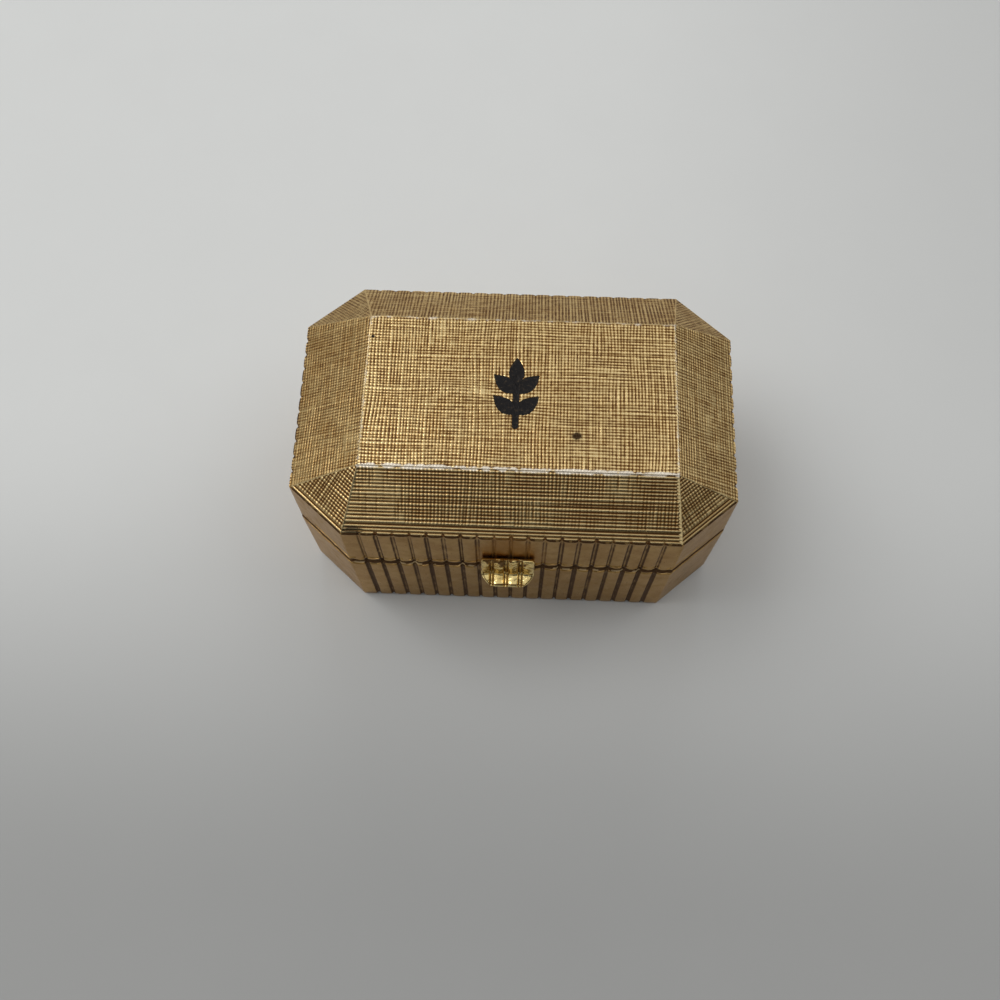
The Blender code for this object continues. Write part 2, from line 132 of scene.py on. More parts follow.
@dataclass
class Piece:
    """Points and faces of one piece, gathered patch by patch and then made a mesh."""

    name: str
    points: list[Array] = field(default_factory=list)
    hollow: list[Array] = field(default_factory=list)
    rub: list[Array] = field(default_factory=list)
    faces: list[Array] = field(default_factory=list)
    smooth: list[Array] = field(default_factory=list)
    count: int = 0

    def add_points(self, points: Array, hollow: Amount = 0.0, rub: Amount = 0.0) -> Array:
        """Adds points with how deep each lies in the surface and how far it is rubbed.

        Args:
            points: Array of points, whose last axis is x, y, z.
            hollow: From 0 on the surface to 1 in the deepest cut; it also carries painted shade, as in the
                seam.
            rub: From 0 to 1 where the plating is worn through; at the seam it also carries a painted
                highlight.

        Returns:
            The points' numbers, in the shape of the array.
        """
        shape = points.shape[:-1]
        self.points.append(points.reshape(-1, 3))
        self.hollow.append(np.broadcast_to(hollow, shape).reshape(-1))
        self.rub.append(np.broadcast_to(rub, shape).reshape(-1))
        numbers = np.arange(math.prod(shape)).reshape(shape) + self.count
        self.count += numbers.size
        return numbers

    def add_faces(self, numbers: Array, smooth: bool = True, wrap: bool = False) -> None:
        """Joins a grid of numbered points with quads.

        Args:
            numbers: The points' numbers, row by row.
            smooth: Shades the faces as one curved surface.
            wrap: Joins the last column to the first.
        """
        if wrap:
            numbers = np.concatenate([numbers, numbers[:, :1]], axis=1)
        quads = np.stack([numbers[:-1, :-1], numbers[:-1, 1:], numbers[1:, 1:], numbers[1:, :-1]], axis=-1)
        self.faces.append(quads.reshape(-1, 4))
        self.smooth.append(np.full(quads.size // 4, smooth))

    def build(self, finish: bpy.types.Material) -> bpy.types.Object:
        """Makes the mesh object, with its faces turned outwards.

        A quad with two equal points becomes a triangle, which closes a pole. The signed volume,
        the sum of each face's first point dotted with its area vector, says which way is out.

        Args:
            finish: The piece's material.

        Returns:
            The new object, which holds the attributes hollow and rub.
        """
        points = np.concatenate(self.points)
        quads = np.concatenate(self.faces)
        smooth = np.concatenate(self.smooth)
        a, b, c, d = (points[quads[:, i]] for i in range(4))
        if np.einsum("ij,ij->", a, np.cross(c - a, d - b)) < 0:
            quads = quads[:, ::-1]
        repeated = quads == np.roll(quads, -1, axis=1)
        kept = repeated.sum(1) < 2
        quads, smooth, repeated = quads[kept], smooth[kept], repeated[kept]
        sizes = 4 - repeated.sum(1)
        mesh = bpy.data.meshes.new(self.name)
        mesh.vertices.add(len(points))
        mesh.vertices.foreach_set("co", points.astype(np.float32).ravel())
        mesh.loops.add(int(sizes.sum()))
        mesh.loops.foreach_set("vertex_index", quads[~repeated].astype(np.int32))
        mesh.polygons.add(len(quads))
        starts = np.concatenate([[0], np.cumsum(sizes)[:-1]])
        mesh.polygons.foreach_set("loop_start", starts.astype(np.int32))
        mesh.polygons.foreach_set("use_smooth", smooth)
        mesh.update(calc_edges=True)
        mesh.validate()
        for name, values in (("hollow", self.hollow), ("rub", self.rub)):
            attribute = mesh.attributes.new(name, "FLOAT", "POINT")
            attribute.data.foreach_set("value", np.concatenate(values).astype(np.float32))
        mesh.materials.append(finish)
        made = bpy.data.objects.new(self.name, mesh)
        bpy.context.scene.collection.objects.link(made)
        return made


@dataclass
class Skin:
    """Rings of equally many points, gathered one after another and then skinned over."""

    rings: list[Array] = field(default_factory=list)
    hollow: list[Array] = field(default_factory=list)
    rub: list[Array] = field(default_factory=list)

    def add(self, flat: Array, z: Amount, hollow: Amount = 0.0, rub: Amount = 0.0) -> None:
        """Adds a ring of (x, y) points at a height, with how hollow and how rubbed it is."""
        self.add_ring(np.column_stack([flat, np.broadcast_to(z, len(flat))]), hollow, rub)

    def add_ring(self, ring: Array, hollow: Amount = 0.0, rub: Amount = 0.0) -> None:
        """Adds a ring of (x, y, z) points.

        Args:
            ring: The points, as rows.
            hollow: How hollow each is, or all of them are.
            rub: How rubbed each is, or all of them are.
        """
        self.rings.append(ring)
        self.hollow.append(np.broadcast_to(hollow, len(ring)))
        self.rub.append(np.broadcast_to(rub, len(ring)))

    def cover(self, piece: Piece, closed: bool = False) -> None:
        """Adds the skin to a piece.

        Args:
            piece: The piece to add to.
            closed: Joins the last ring to the first, instead of closing each end with a pole.
        """
        rings, hollow, rub = np.stack(self.rings), np.stack(self.hollow), np.stack(self.rub)
        if closed:
            numbers = piece.add_points(rings, hollow, rub)
            numbers = np.concatenate([numbers, numbers[:1]])
        else:
            poles = np.broadcast_to(rings[[0, -1]].mean(1, keepdims=True), (2, *rings.shape[1:]))
            rings = np.concatenate([poles[:1], rings, poles[1:]])
            hollow = np.concatenate([hollow[:1], hollow, hollow[-1:]])
            rub = np.concatenate([rub[:1], rub, rub[-1:]])
            numbers = piece.add_points(rings, hollow, rub)
            numbers[0] = numbers[0, 0]
            numbers[-1] = numbers[-1, 0]
        piece.add_faces(numbers, wrap=True)


def skinned(name: str, rings: list[Array], hollow: float = 0.0, closed: bool = False) -> Piece:
    """Makes a piece that is skinned over rings of (x, y, z) points.

    Args:
        name: The piece's name.
        rings: The rings, one after another.
        hollow: How hollow the whole surface is.
        closed: Joins the last ring to the first.

    Returns:
        The piece, with its points and faces.
    """
    skin = Skin()
    for ring in rings:
        skin.add_ring(ring, hollow)
    piece = Piece(name)
    skin.cover(piece, closed)
    return piece


@dataclass
class CaseShape:
    """The case's outline and heights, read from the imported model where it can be.

    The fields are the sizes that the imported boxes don't show. The bearing angle is in degrees.
    """

    chamfer_width: float = 4.8 * MM
    chamfer_depth: float = 4.2 * MM
    side_bevel_run: float = 5.85 * MM
    front_bevel_run: float = 4.95 * MM
    panel_shift: float = 0.35 * MM
    skirt_height: float = 6.4 * MM
    wall: float = 1.2 * MM
    floor: float = 1.2 * MM
    crown_thickness: float = 1.4 * MM
    foot_ease: float = 0.45 * MM
    back_wall: float = 2.12 * MM
    reed_pitch: float = 1.42 * MM
    reed_crown: float = 0.1 * MM
    channel_depth: float = 0.2 * MM
    bearing_angle: float = 50.0
    bearing_offset: float = 0.1044 * MM
    cove_clearance: float = 0.12 * MM

    def __post_init__(self) -> None:
        """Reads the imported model's overall sizes."""
        low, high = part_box("base_shell")
        lid_low, lid_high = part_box("lid_shell")
        knuckle_low, knuckle_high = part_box("base_knuckle_middle")
        _, pin_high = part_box("hinge_pin")
        self.width = high.x - low.x
        self.depth = high.y - low.y
        self.base_height = high.z
        self.lid_rim = lid_low.z
        self.top = lid_high.z
        self.shoulder = self.lid_rim + self.skirt_height
        self.hinge_y = (knuckle_low.y + knuckle_high.y) / 2
        self.hinge_z = (knuckle_low.z + knuckle_high.z) / 2
        self.knuckle_radius = (knuckle_high.z - knuckle_low.z) / 2
        self.cove_half = pin_high.x + self.cove_clearance

    def octagon(self, side: float, front: float, back: float, diagonal: float) -> Array:
        """Corners of the outline with its walls drawn in.

        A chamfer lies on the line where the chamfer's depth times x, plus its width times y, is
        its reach. The corners are where that line meets the walls' own lines.

        Args:
            side: How far the left and right walls are drawn in.
            front: How far the front wall is drawn in.
            back: How far the back wall is drawn in.
            diagonal: How far the chamfers are drawn in.

        Returns:
            Eight (x, y) rows, counter-clockwise from the front wall's left end.
        """
        half = self.width / 2 - side
        y_front = self.depth / 2 - front
        y_back = self.depth / 2 - back
        reach = self.chamfer_depth * self.width / 2 + self.chamfer_width * self.depth / 2
        reach -= self.chamfer_depth * self.chamfer_width
        reach -= diagonal * math.hypot(self.chamfer_depth, self.chamfer_width)
        x_front = (reach - self.chamfer_width * y_front) / self.chamfer_depth
        x_back = (reach - self.chamfer_width * y_back) / self.chamfer_depth
        y_side = (reach - self.chamfer_depth * half) / self.chamfer_width
        quarter = np.array([[x_front, -y_front], [half, -y_side], [half, y_side], [x_back, y_back]])
        mirrored = quarter[::-1] * [-1, 1]
        return np.concatenate([[mirrored[3]], quarter, mirrored[:3]])

    def inner_octagon(self, inset: float) -> Array:
        """Corners of the castings' inner outline, drawn in, behind their thicker back wall."""
        side = self.wall + inset
        return self.octagon(side, side, self.back_wall + inset, side)

    def panel_corners(self) -> Array:
        """The panel's corners.

        Returns:
            Four (x, y) rows, counter-clockwise from the front left.
        """
        half_x = self.width / 2 - self.side_bevel_run
        half_y = self.depth / 2 - self.front_bevel_run
        signs = np.array([[-1, -1], [1, -1], [1, 1], [-1, 1]])
        return signs * [half_x, half_y] + [self.panel_shift, 0.0]

    def rim_cut(self, x: Array, y: Array) -> Array:
        """How far the hinge's cuts reach above and below the axis at a point of the rim.

        The larger of the bearing wedge, (y - apex) times the tangent of its half angle, and of
        the round cove, the root of its radius squared less the distance from the axis squared.

        Args:
            x: The point's x, or an array of them.
            y: The point's y, or an array of them.

        Returns:
            The reach, which is 0 in front of the hinge.
        """
        apex = self.hinge_y - self.bearing_offset
        wedge = (y - apex) * math.tan(math.radians(self.bearing_angle))
        radius = self.knuckle_radius + self.cove_clearance
        cove = np.sqrt(np.maximum(radius**2 - (y - self.hinge_y) ** 2, 0.0))
        cove = np.where(np.abs(x) < self.cove_half, cove, 0.0)
        return np.maximum(np.maximum(wedge, cove), 0.0)

    def lid_rim_at(self, x: Array, y: Array) -> Array:
        """Height of the lid's underside over a point of the rim."""
        return np.maximum(self.lid_rim, self.hinge_z + self.rim_cut(x, y))

    def base_rim_at(self, x: Array, y: Array) -> Array:
        """Height of the base's top face at a point of the rim."""
        return np.minimum(self.base_height, self.hinge_z - self.rim_cut(x, y))


class WallTrack:
    """Columns round the case's wall, with the reeding of its four long walls.

    A column's share of its wall goes from 0 to 1. On a wall of n reeds the share times n is a
    whole number in the middle of each channel, and columns crowd there by taking off a sine.
    """

    PER_REED = 18
    PER_CHAMFER = 16
    CROWDING = 0.6
    COVE_STEP = 0.004 * MM
    END_REEDS = 0.7
    WIDTH_SPREAD = 0.18
    DEPTH_SPREAD = 0.35
    DIRT_SPREAD = 0.4
    FLAT_FLOOR = 0.15
    SIDE_STRAY = 0.4
    STRAY_FROM = -8.0 * MM
    STRAY_FULL = -11.5 * MM
    BLOTCH_SIZE = 0.45 * MM
    DENT_SIZE = 1.3 * MM
    DENT_DEPTH = 0.02 * MM
    DENT_CLEAR = 0.06

    def __init__(self, case: CaseShape, channel_width: float, dark_floor: float, seed: int) -> None:
        """Works out each column's wall, share of the wall, depth of reeding and film.

        Args:
            case: The case's shape.
            channel_width: Width of a channel between two reeds.
            dark_floor: How dark the channels' floors are, where 1 is as dark as their sides.
            seed: Draws how each channel differs from the next.
        """
        self.case = case
        self.corners = case.octagon(0, 0, 0, 0)
        rng = np.random.default_rng(seed)
        columns = []
        for wall in Wall:
            if wall.is_chamfer:
                share = np.arange(self.PER_CHAMFER) / self.PER_CHAMFER
                depth = film = np.zeros(self.PER_CHAMFER)
                swing = np.full(self.PER_CHAMFER, 0.5)
            else:
                share, reeds = self.crowded_columns(wall)
                depth, film = self.reeding(share * reeds, reeds, channel_width, dark_floor, rng)
                clear = self.clear_of_ends(share * reeds, reeds)
                swing = 0.5 + 0.5 * np.cos(math.tau * share * reeds) * clear
            columns.append((np.full(len(share), wall.value), share, depth, film, swing))
        self.wall, self.share, self.reed_depth, self.film, self.swing = map(np.concatenate, zip(*columns))
        ends = self.corners[(self.wall + 1) % SIDES] - self.corners[self.wall]
        inward = np.stack([-ends[:, 1], ends[:, 0]], axis=1)
        self.inward = inward / np.linalg.norm(inward, axis=1, keepdims=True)
        forward = smooth_step(self.STRAY_FROM, self.STRAY_FULL, self.ring(self.corners, 0.0)[:, 1])
        self.stray = self.SIDE_STRAY + (1 - self.SIDE_STRAY) * forward

    def crowded_columns(self, wall: Wall) -> tuple[Array, int]:
        """Columns of a reeded wall, with a close pair at each end of the hinge's upright cove.

        Args:
            wall: The wall.

        Returns:
            Each column's share of the wall, and how many reeds the wall has.
        """
        run = np.linalg.norm(self.corners[(wall.value + 1) % SIDES] - self.corners[wall.value])
        reeds = max(1, round(run / self.case.reed_pitch))
        even = np.arange(reeds * self.PER_REED) / self.PER_REED
        share = (even - self.CROWDING * np.sin(math.tau * even) / math.tau) / reeds
        if wall is Wall.BACK:
            pairs = [(sign, step) for sign in (-1, 1) for step in (-self.COVE_STEP, self.COVE_STEP)]
            at = [0.5 + (sign * self.case.cove_half + step) / run for sign, step in pairs]
            share = np.sort(np.concatenate([share, at]))
        return share, reeds

    def clear_of_ends(self, along: Array, reeds: int) -> Array:
        """Rises from 0 at a wall's ends to 1 a part of a reed away from them."""
        return smooth_step(0.0, self.END_REEDS, along) * smooth_step(0.0, self.END_REEDS, reeds - along)

    def reeding(self, along: Array, reeds: int, width: float, dark_floor: float,
                rng: np.random.Generator) -> tuple[Array, Array]:
        """Depth of the reeding below the reeds' crests, and the film that darkens it.

        A channel is flat near its middle and climbs by a smooth step s to its edge. Film
        gathers on the climb, as 4 s (1 - s). Between channels a reed falls off by its crown
        times the cube of the distance from its middle.

        Args:
            along: Each column's share of the wall times the number of reeds.
            reeds: The number of reeds.
            width: Width of a channel.
            dark_floor: How dark the channels' floors are.
            rng: Draws each channel's width, depth and dirt, in this order.

        Returns:
            The depth and the film of each column.
        """
        nearest = np.rint(along).astype(int)
        inside = (nearest > 0) & (nearest < reeds)
        spread = 1 + self.WIDTH_SPREAD * rng.uniform(-1, 1, reeds + 1)
        half = (width / 2 / self.case.reed_pitch) * spread[nearest]
        spread = 1 - self.DEPTH_SPREAD * rng.uniform(0, 1, reeds + 1)
        deep = (self.case.channel_depth * spread)[nearest]
        dirt = (1 - self.DIRT_SPREAD * rng.uniform(0, 1, reeds + 1))[nearest]
        climb = smooth_step(self.FLAT_FLOOR, 1.0, np.abs(along - nearest) / half)
        channel = deep * (1 - climb) * inside
        film = np.clip(dark_floor * (1 - climb) + 4 * climb * (1 - climb), 0, 1) * inside * dirt
        middle = 2 * np.abs(along - np.floor(along) - 0.5)
        crown = self.case.reed_crown * middle**3 * self.clear_of_ends(along, reeds)
        return np.maximum(channel, crown), film

    @property
    def reeded(self) -> Array:
        """1 on the walls that are reeded and 0 on the plain chamfers."""
        return 1.0 - self.wall % 2

    def noise(self, seed: int, features: int, up: Amount = 0.0, apart: int = 9) -> Array:
        """Noise round the case, with this many features to a wall, moved on from wall to wall."""
        return Noise(seed).layered(self.wall * apart + self.share * features, up)

    def seam_wave(self) -> Array:
        """Where the seam runs, from 0 low to 1 high: highest at the channels, and varied by noise."""
        return np.clip(0.55 * self.swing + 0.45 * (0.5 + 0.7 * self.noise(5, 27)), 0, 1)

    def seam_rise(self) -> Array:
        """How far the lid's rim rises at the seam, as a share of its swing: less away from the front."""
        return self.seam_wave() * self.stray

    def seam_fall(self) -> Array:
        """How far the base's rim falls at the seam, as a share of its swing: less away from the front."""
        return (1 - self.seam_wave()) * self.stray

    def film_at(self, z: Array, seed: int) -> Array:
        """The film at a height, blotched by noise along the channels."""
        blotches = self.noise(seed, 60, z / self.BLOTCH_SIZE)
        return np.clip(self.film * (0.9 + 0.25 * blotches), 0, 1)

    def spots(self, seed: int, low: float) -> Array:
        """Short bright spots along a rim, from 0 to 1, where fine noise rises above a level."""
        return smooth_step(low, low + 0.7, self.noise(seed, 55, apart=11))

    def dents(self, z: Array, seed: int) -> Array:
        """Shallow dents in the wall, from noise round and up it, which leave its ends sharp.

        Args:
            z: Height of each column's point.
            seed: Draws the dents.

        Returns:
            The (x, y) offsets inwards.
        """
        depth = np.maximum(self.noise(seed, 24, z / self.DENT_SIZE), 0.0)
        clear = smooth_step(0.0, self.DENT_CLEAR, self.share)
        clear = clear * smooth_step(0.0, self.DENT_CLEAR, 1 - self.share)
        return self.inward * (self.DENT_DEPTH * depth * clear)[:, None]

    def ring(self, corners: Array, relief: float = 1.0) -> Array:
        """The track laid on an octagon.

        Args:
            corners: The octagon's corners.
            relief: How much of the reeding's depth is taken off.

        Returns:
            One (x, y) row to a column.
        """
        start = corners[self.wall]
        end = corners[(self.wall + 1) % SIDES]
        flat = start + (end - start) * self.share[:, None]
        return flat + self.inward * (self.reed_depth * relief)[:, None]

    def inset(self, amount: float) -> Array:
        """The track's (x, y) points on the case's octagon, moved in by an amount."""
        return self.ring(self.case.octagon(*[amount] * 4))


class Roof:
    """The lid's outer form: nine planes, whose lowest is the surface, with worn edges between."""

    EDGE = 0.012 * MM
    FRONT_EDGE = 0.035 * MM
    FRONT_EDGE_REACH = 0.45 * MM
    FRONT_WEAR = 1.3
    FRONT_WEAR_REACH = 0.2 * MM
    SIDE_WEAR = 0.42
    SIDE_WEAR_REACH = 0.26 * MM

    def __init__(self, case: CaseShape) -> None:
        """Fits a plane z = a x + b y + c through three corners of each face.

        Args:
            case: The case's shape.
        """
        self.case = case
        feet = case.octagon(0, 0, 0, 0)
        panel = case.panel_corners()
        self.planes = [np.array([0.0, 0.0, case.top])]
        for i in range(SIDES):
            low = [(*feet[i], case.shoulder), (*feet[(i + 1) % SIDES], case.shoulder)]
            corners = np.array([*low, (*panel[(i + 1) // 2 % 4], case.top)])
            matrix = np.column_stack([corners[:, :2], np.ones(3)])
            self.planes.append(np.linalg.solve(matrix, corners[:, 2]))

    def levels(self, x: Array, y: Array) -> Array:
        """Heights of the nine planes over each point, lowest first."""
        return np.sort(np.stack([a * x + b * y + c for a, b, c in self.planes]), axis=0)

    def height(self, x: Array, y: Array) -> Array:
        """The soft least of the planes: minus k times the log of the sum of exp(-z / k).

        The softness k is larger along the panel's front edge, which is worn most.

        Args:
            x: The points' x.
            y: The points' y.

        Returns:
            The heights.
        """
        levels = self.levels(x, y)
        from_edge = (y - self.case.panel_corners()[0, 1]) / self.FRONT_EDGE_REACH
        softness = self.EDGE + self.FRONT_EDGE * np.exp(-(from_edge**2))
        return levels[0] - softness * np.log(np.exp((levels[0] - levels) / softness).sum(0))

    def wear(self, x: Array, y: Array) -> Array:
        """How far the plating is worn round the panel: bright at its front edge, duller elsewhere.

        It is e to minus the square of the distance from the panel's outline over its reach.

        Args:
            x: The points' x.
            y: The points' y.

        Returns:
            The wear, where 1 is worn through.
        """
        low, high = self.case.panel_corners()[0], self.case.panel_corners()[2]
        beyond_x = np.maximum(low[0] - x, x - high[0])
        beyond = np.maximum(beyond_x, np.maximum(low[1] - y, y - high[1]))
        front = self.FRONT_WEAR * np.exp(-(((y - low[1]) / self.FRONT_WEAR_REACH) ** 2))
        front = front * smooth_step(self.FRONT_WEAR_REACH, 0.0, beyond_x)
        return np.maximum(front, self.SIDE_WEAR * np.exp(-((beyond / self.SIDE_WEAR_REACH) ** 2)))

    def clear_of_edges(self, x: Array, y: Array, width: float) -> Array:
        """Rises from 0 where two planes meet to 1 where they are this far apart in height."""
        levels = self.levels(x, y)
        return smooth_step(0.0, width, levels[1] - levels[0])

    def normal(self, face: int) -> Array:
        """Outward unit vector of a plane.

        Args:
            face: The face's number, which is 0 for the panel.

        Returns:
            The vector.
        """
        a, b, _ = self.planes[face]
        vector = np.array([-a, -b, 1.0])
        return vector / np.linalg.norm(vector)


@dataclass(frozen=True)
class GraverLines:
    """One run of lines cut side by side by a graver, each of its own depth and length.

    The cover is the share of the lines that is cut, the run is about the length of one stroke,
    and the width and the wander are shares of the pitch.
    """

    pitch: float
    depth: float
    cover: float
    run: float
    seed: int
    width: float = 0.5
    wander: float = 0.35
    own_wander: float = 0.16
    chatter: float = 0.0

    def depth_at(self, along: Array, across: Array) -> Array:
        """Depth cut at each point.

        Across the lines it is a cosine squared groove about each line's middle. Along a line it
        follows noise of its own, raised or lowered by the cover, and the graver's chatter.
        Odd strides per line number give each line a row of noise of its own.

        Args:
            along: Distance along the lines.
            across: Distance across them.

        Returns:
            The depth in metres.
        """
        stray = Noise(self.seed)
        strength = Noise(self.seed + 1)
        shift = self.wander * stray.at(along / (4 * self.run), across / (7 * self.pitch))
        track = across / self.pitch + shift
        number = np.rint(track)
        nudge = self.own_wander * stray.at(number * 7.31, number * 3.17 + along / (9 * self.run))
        offset = np.abs(track - number - nudge) / self.width
        groove = np.cos(np.clip(offset, 0, 1) * math.pi / 2) ** 2
        own = strength.at(number * 5.13, along / self.run + number * 2.7)
        shared = strength.at(across / (11 * self.pitch) + 31, along / (2.2 * self.run))
        skips = strength.at(number * 9.37, along / (1.3 * self.pitch))
        amount = smooth_step(-0.75, 0.35, 0.6 * own + 0.8 * shared + 2 * self.cover - 1.0)
        return self.depth * groove * amount * (1 - self.chatter * (0.5 + 0.5 * skips))


@dataclass(frozen=True)
class LinenCut:
    """Two crossed runs of graver's lines, where first one and then the other is the stronger.

    The zone is the size of a patch where one run is the stronger, and a balance over 0 favours
    the level one. The hem is a number of even lines along the face's foot, and crossing lines
    stop short of a plain foot. Tarnish darkens the cuts; dullness darkens the whole face, partly
    as painted shade.
    """

    level: GraverLines
    crossing: GraverLines
    zone: float = 2.6 * MM
    zone_seed: int = 5
    balance: float = 0.0
    plain_foot: float = 0.0
    tarnish: float = 1.0
    dull_and_shade: float = 0.0
    hem: int = 0
    foot_dark: float = 0.3

    def depth_at(self, along: Array, up: Array) -> Array:
        """Depth cut at each point by both runs.

        Args:
            along: Distance along the face's foot.
            up: Distance from the foot, up the face.

        Returns:
            The depth in metres: the sum of both runs, each weighed by its share of the zone.
        """
        zone = Noise(self.zone_seed).layered(along / self.zone, up / self.zone)
        zone = np.clip(zone + self.balance, -1, 1)
        level = self.level.depth_at(along, up) * (0.7 + 0.3 * zone)
        crossing = self.crossing.depth_at(up, along) * (0.7 - 0.3 * zone)
        if self.plain_foot:
            crossing = crossing * smooth_step(0.6, 1.4, up / self.plain_foot)
        return level + crossing

    def hemmed(self, depth: Array, up: Array) -> Array:
        """Depths with a hem of even lines along the face's foot, where it has one.

        A line of the hem is a sine squared across its pitch.

        Args:
            depth: The depths without the hem.
            up: Distance from the foot, up the face.

        Returns:
            The depths.
        """
        if not self.hem:
            return depth
        pitch = self.level.pitch
        lines = self.level.depth * np.sin(math.pi * up / pitch) ** 2
        share = smooth_step((self.hem + 0.3) * pitch, (self.hem - 0.3) * pitch, up)
        return depth * (1 - share) + lines * share

    def foot_shade(self, from_foot: Amount, ragged: Array) -> Array:
        """The dark line along the face's foot, whose width varies with ragged noise."""
        return self.foot_dark * smooth_step(0.2 * MM, 0.08 * MM, from_foot - ragged * 0.06 * MM)

    def hollow(self, depth: Array) -> Array:
        """How hollow each point is: its depth over the deepest, and no less than the face's dullness."""
        return np.maximum(depth / self.deepest, self.dull_and_shade)

    @property
    def deepest(self) -> float:
        """The depth that counts as fully hollow."""
        return 1.2 * max(self.level.depth, self.crossing.depth) / self.tarnish


class Socket:
    """A node's output, on which arithmetic adds Math nodes."""

    def __init__(self, nodes: "Nodes", link: bpy.types.NodeSocket) -> None:
        """Wraps one output of a node."""
        self.nodes = nodes
        self.link = link

    def _math(self, operation: str, *values: object) -> "Socket":
        """A Math node of these values."""
        return self.nodes.node("ShaderNodeMath", {"operation": operation}, dict(enumerate(values)))

    def __add__(self, other: object) -> "Socket":
        """Sum."""
        return self._math("ADD", self, other)

    def __sub__(self, other: object) -> "Socket":
        """Difference."""
        return self._math("SUBTRACT", self, other)

    def __rsub__(self, other: object) -> "Socket":
        """Reflected difference."""
        return self._math("SUBTRACT", other, self)

    def __mul__(self, other: object) -> "Socket":
        """Product."""
        return self._math("MULTIPLY", self, other)

    __radd__ = __add__
    __rmul__ = __mul__

    def greater(self, other: object) -> "Socket":
        """The larger of two values."""
        return self._math("MAXIMUM", self, other)

    def step(self, low: float, high: float) -> "Socket":
        """A smooth rise from 0 at low to 1 at high."""
        inputs = {"Value": self, "From Min": low, "From Max": high}
        return self.nodes.node("ShaderNodeMapRange", {"interpolation_type": "SMOOTHSTEP"}, inputs)


class Nodes:
    """A node tree, to which nodes are added by type, settings and inputs."""

    def __init__(self, tree: bpy.types.NodeTree) -> None:
        """Keeps the tree."""
        self.tree = tree

    def node(self, kind: str, settings: dict, inputs: dict, output: int | str = 0) -> Socket:
        """Adds a node.

        Args:
            kind: The node's type.
            settings: Properties, which are set first.
            inputs: Values, colours or sockets, by the input's name or number.
            output: Which output to hand back.

        Returns:
            That output.
        """
        made = self.tree.nodes.new(kind)
        for key, value in settings.items():
            setattr(made, key, value)
        for key, value in inputs.items():
            self.feed(made.inputs[key], value)
        return Socket(self, made.outputs[output])

    def feed(self, socket: bpy.types.NodeSocket, value: object) -> None:
        """Links or sets an input.

        Args:
            socket: The input.
            value: A socket to link, or a number, a vector or a colour of three numbers.
        """
        if isinstance(value, Socket):
            self.tree.links.new(value.link, socket)
        elif isinstance(value, tuple) and len(value) == 3 and socket.type == "RGBA":
            socket.default_value = (*value, 1.0)
        else:
            socket.default_value = value

    def mix(self, factor: object, first: object, second: object) -> Socket:
        """A blend of two colours, whose sockets are numbers 6 and 7, and 2 among the outputs."""
        return self.node("ShaderNodeMix", {"data_type": "RGBA"}, {0: factor, 6: first, 7: second}, 2)

    def vector(self, operation: str, first: object, second: object, output: int | str = 0) -> Socket:
        """A Vector Math node of two values."""
        return self.node("ShaderNodeVectorMath", {"operation": operation}, {0: first, 1: second}, output)

    def split(self, vector: Socket) -> list[Socket]:
        """The three numbers of a vector."""
        parts = self.node("ShaderNodeSeparateXYZ", {}, {0: vector})
        return [Socket(self, output) for output in parts.link.node.outputs]


class Shading(Nodes):
    """A material's node tree, with its Principled shader."""

    def __init__(self, name: str) -> None:
        """Starts a material.

        Args:
            name: The material's name.
        """
        self.material = bpy.data.materials.new(name)
        self.material.use_nodes = True
        super().__init__(self.material.node_tree)
        self.shader = self.tree.nodes["Principled BSDF"]
        self._place = None

    @property
    def place(self) -> Socket:
        """The point on the piece in millimetres, from its Object coordinates.

        Returns:
            The point, whose nodes are made once.
        """
        if self._place is None:
            inputs = {0: self.node("ShaderNodeTexCoord", {}, {}, "Object"), "Scale": 1 / MM}
            self._place = self.node("ShaderNodeVectorMath", {"operation": "SCALE"}, inputs)
        return self._place

    def noise(self, scale: float, detail: float, density: tuple = (1, 1, 1),
              roughness: float = 0.55) -> Socket:
        """Noise from 0 to 1.

        Args:
            scale: Features to a millimetre.
            detail: How many finer layers it has.
            density: Factors on the scale along x, y and z.
            roughness: How strong the finer layers are.

        Returns:
            The noise.
        """
        point = self.vector("MULTIPLY", self.place, density)
        inputs = {"Vector": point, "Scale": scale, "Detail": detail, "Roughness": roughness}
        return self.node("ShaderNodeTexNoise", {}, inputs)

    def value(self, name: str) -> Socket:
        """One of the mesh's own values, such as hollow or rub."""
        return self.node("ShaderNodeAttribute", {"attribute_name": name}, {}, "Fac")

    def near(self, stain: "Stain") -> Socket:
        """The share of a stain at each point, with a ragged edge.

        It is full up to 0.6 of the radii and gone at 1.15, with the distance from the centre
        in radii raised or lowered by noise.

        Args:
            stain: The stain.

        Returns:
            The share, from 0 to the stain's strength.
        """
        offset = self.vector("DIVIDE", self.vector("SUBTRACT", self.place, stain.centre), stain.radii)
        away = self.node("ShaderNodeVectorMath", {"operation": "LENGTH"}, {0: offset}, "Value")
        away = away + (self.noise(2.2 / min(stain.radii), 3.0) - 0.5) * stain.ragged
        return (1.0 - away.step(0.6, 1.15)) * stain.strength

    def bump(self, height: Socket, distance: float) -> None:
        """Feeds the shader's Normal from a height of 0 to 1 and the distance that 1 stands for."""
        made = self.node("ShaderNodeBump", {}, {"Height": height, "Distance": distance})
        self.feed(self.shader.inputs["Normal"], made)

    def surface(self, **values: object) -> bpy.types.Material:
        """Sets or links the shader's sockets.

        Args:
            values: Numbers, colours or sockets, by the input's name with _ for a space.

        Returns:
            The material.
        """
        for key, value in values.items():
            self.feed(self.shader.inputs[key.replace("_", " ")], value)
        return self.material


@dataclass(frozen=True)
class Stain:
    """A mark of its own on the metal, also used for a painted reflection: an ellipsoid, whose centre and
    radii are in millimetres.
    """

    centre: tuple
    radii: tuple
    colour: tuple
    strength: float
    ragged: float = 0.6


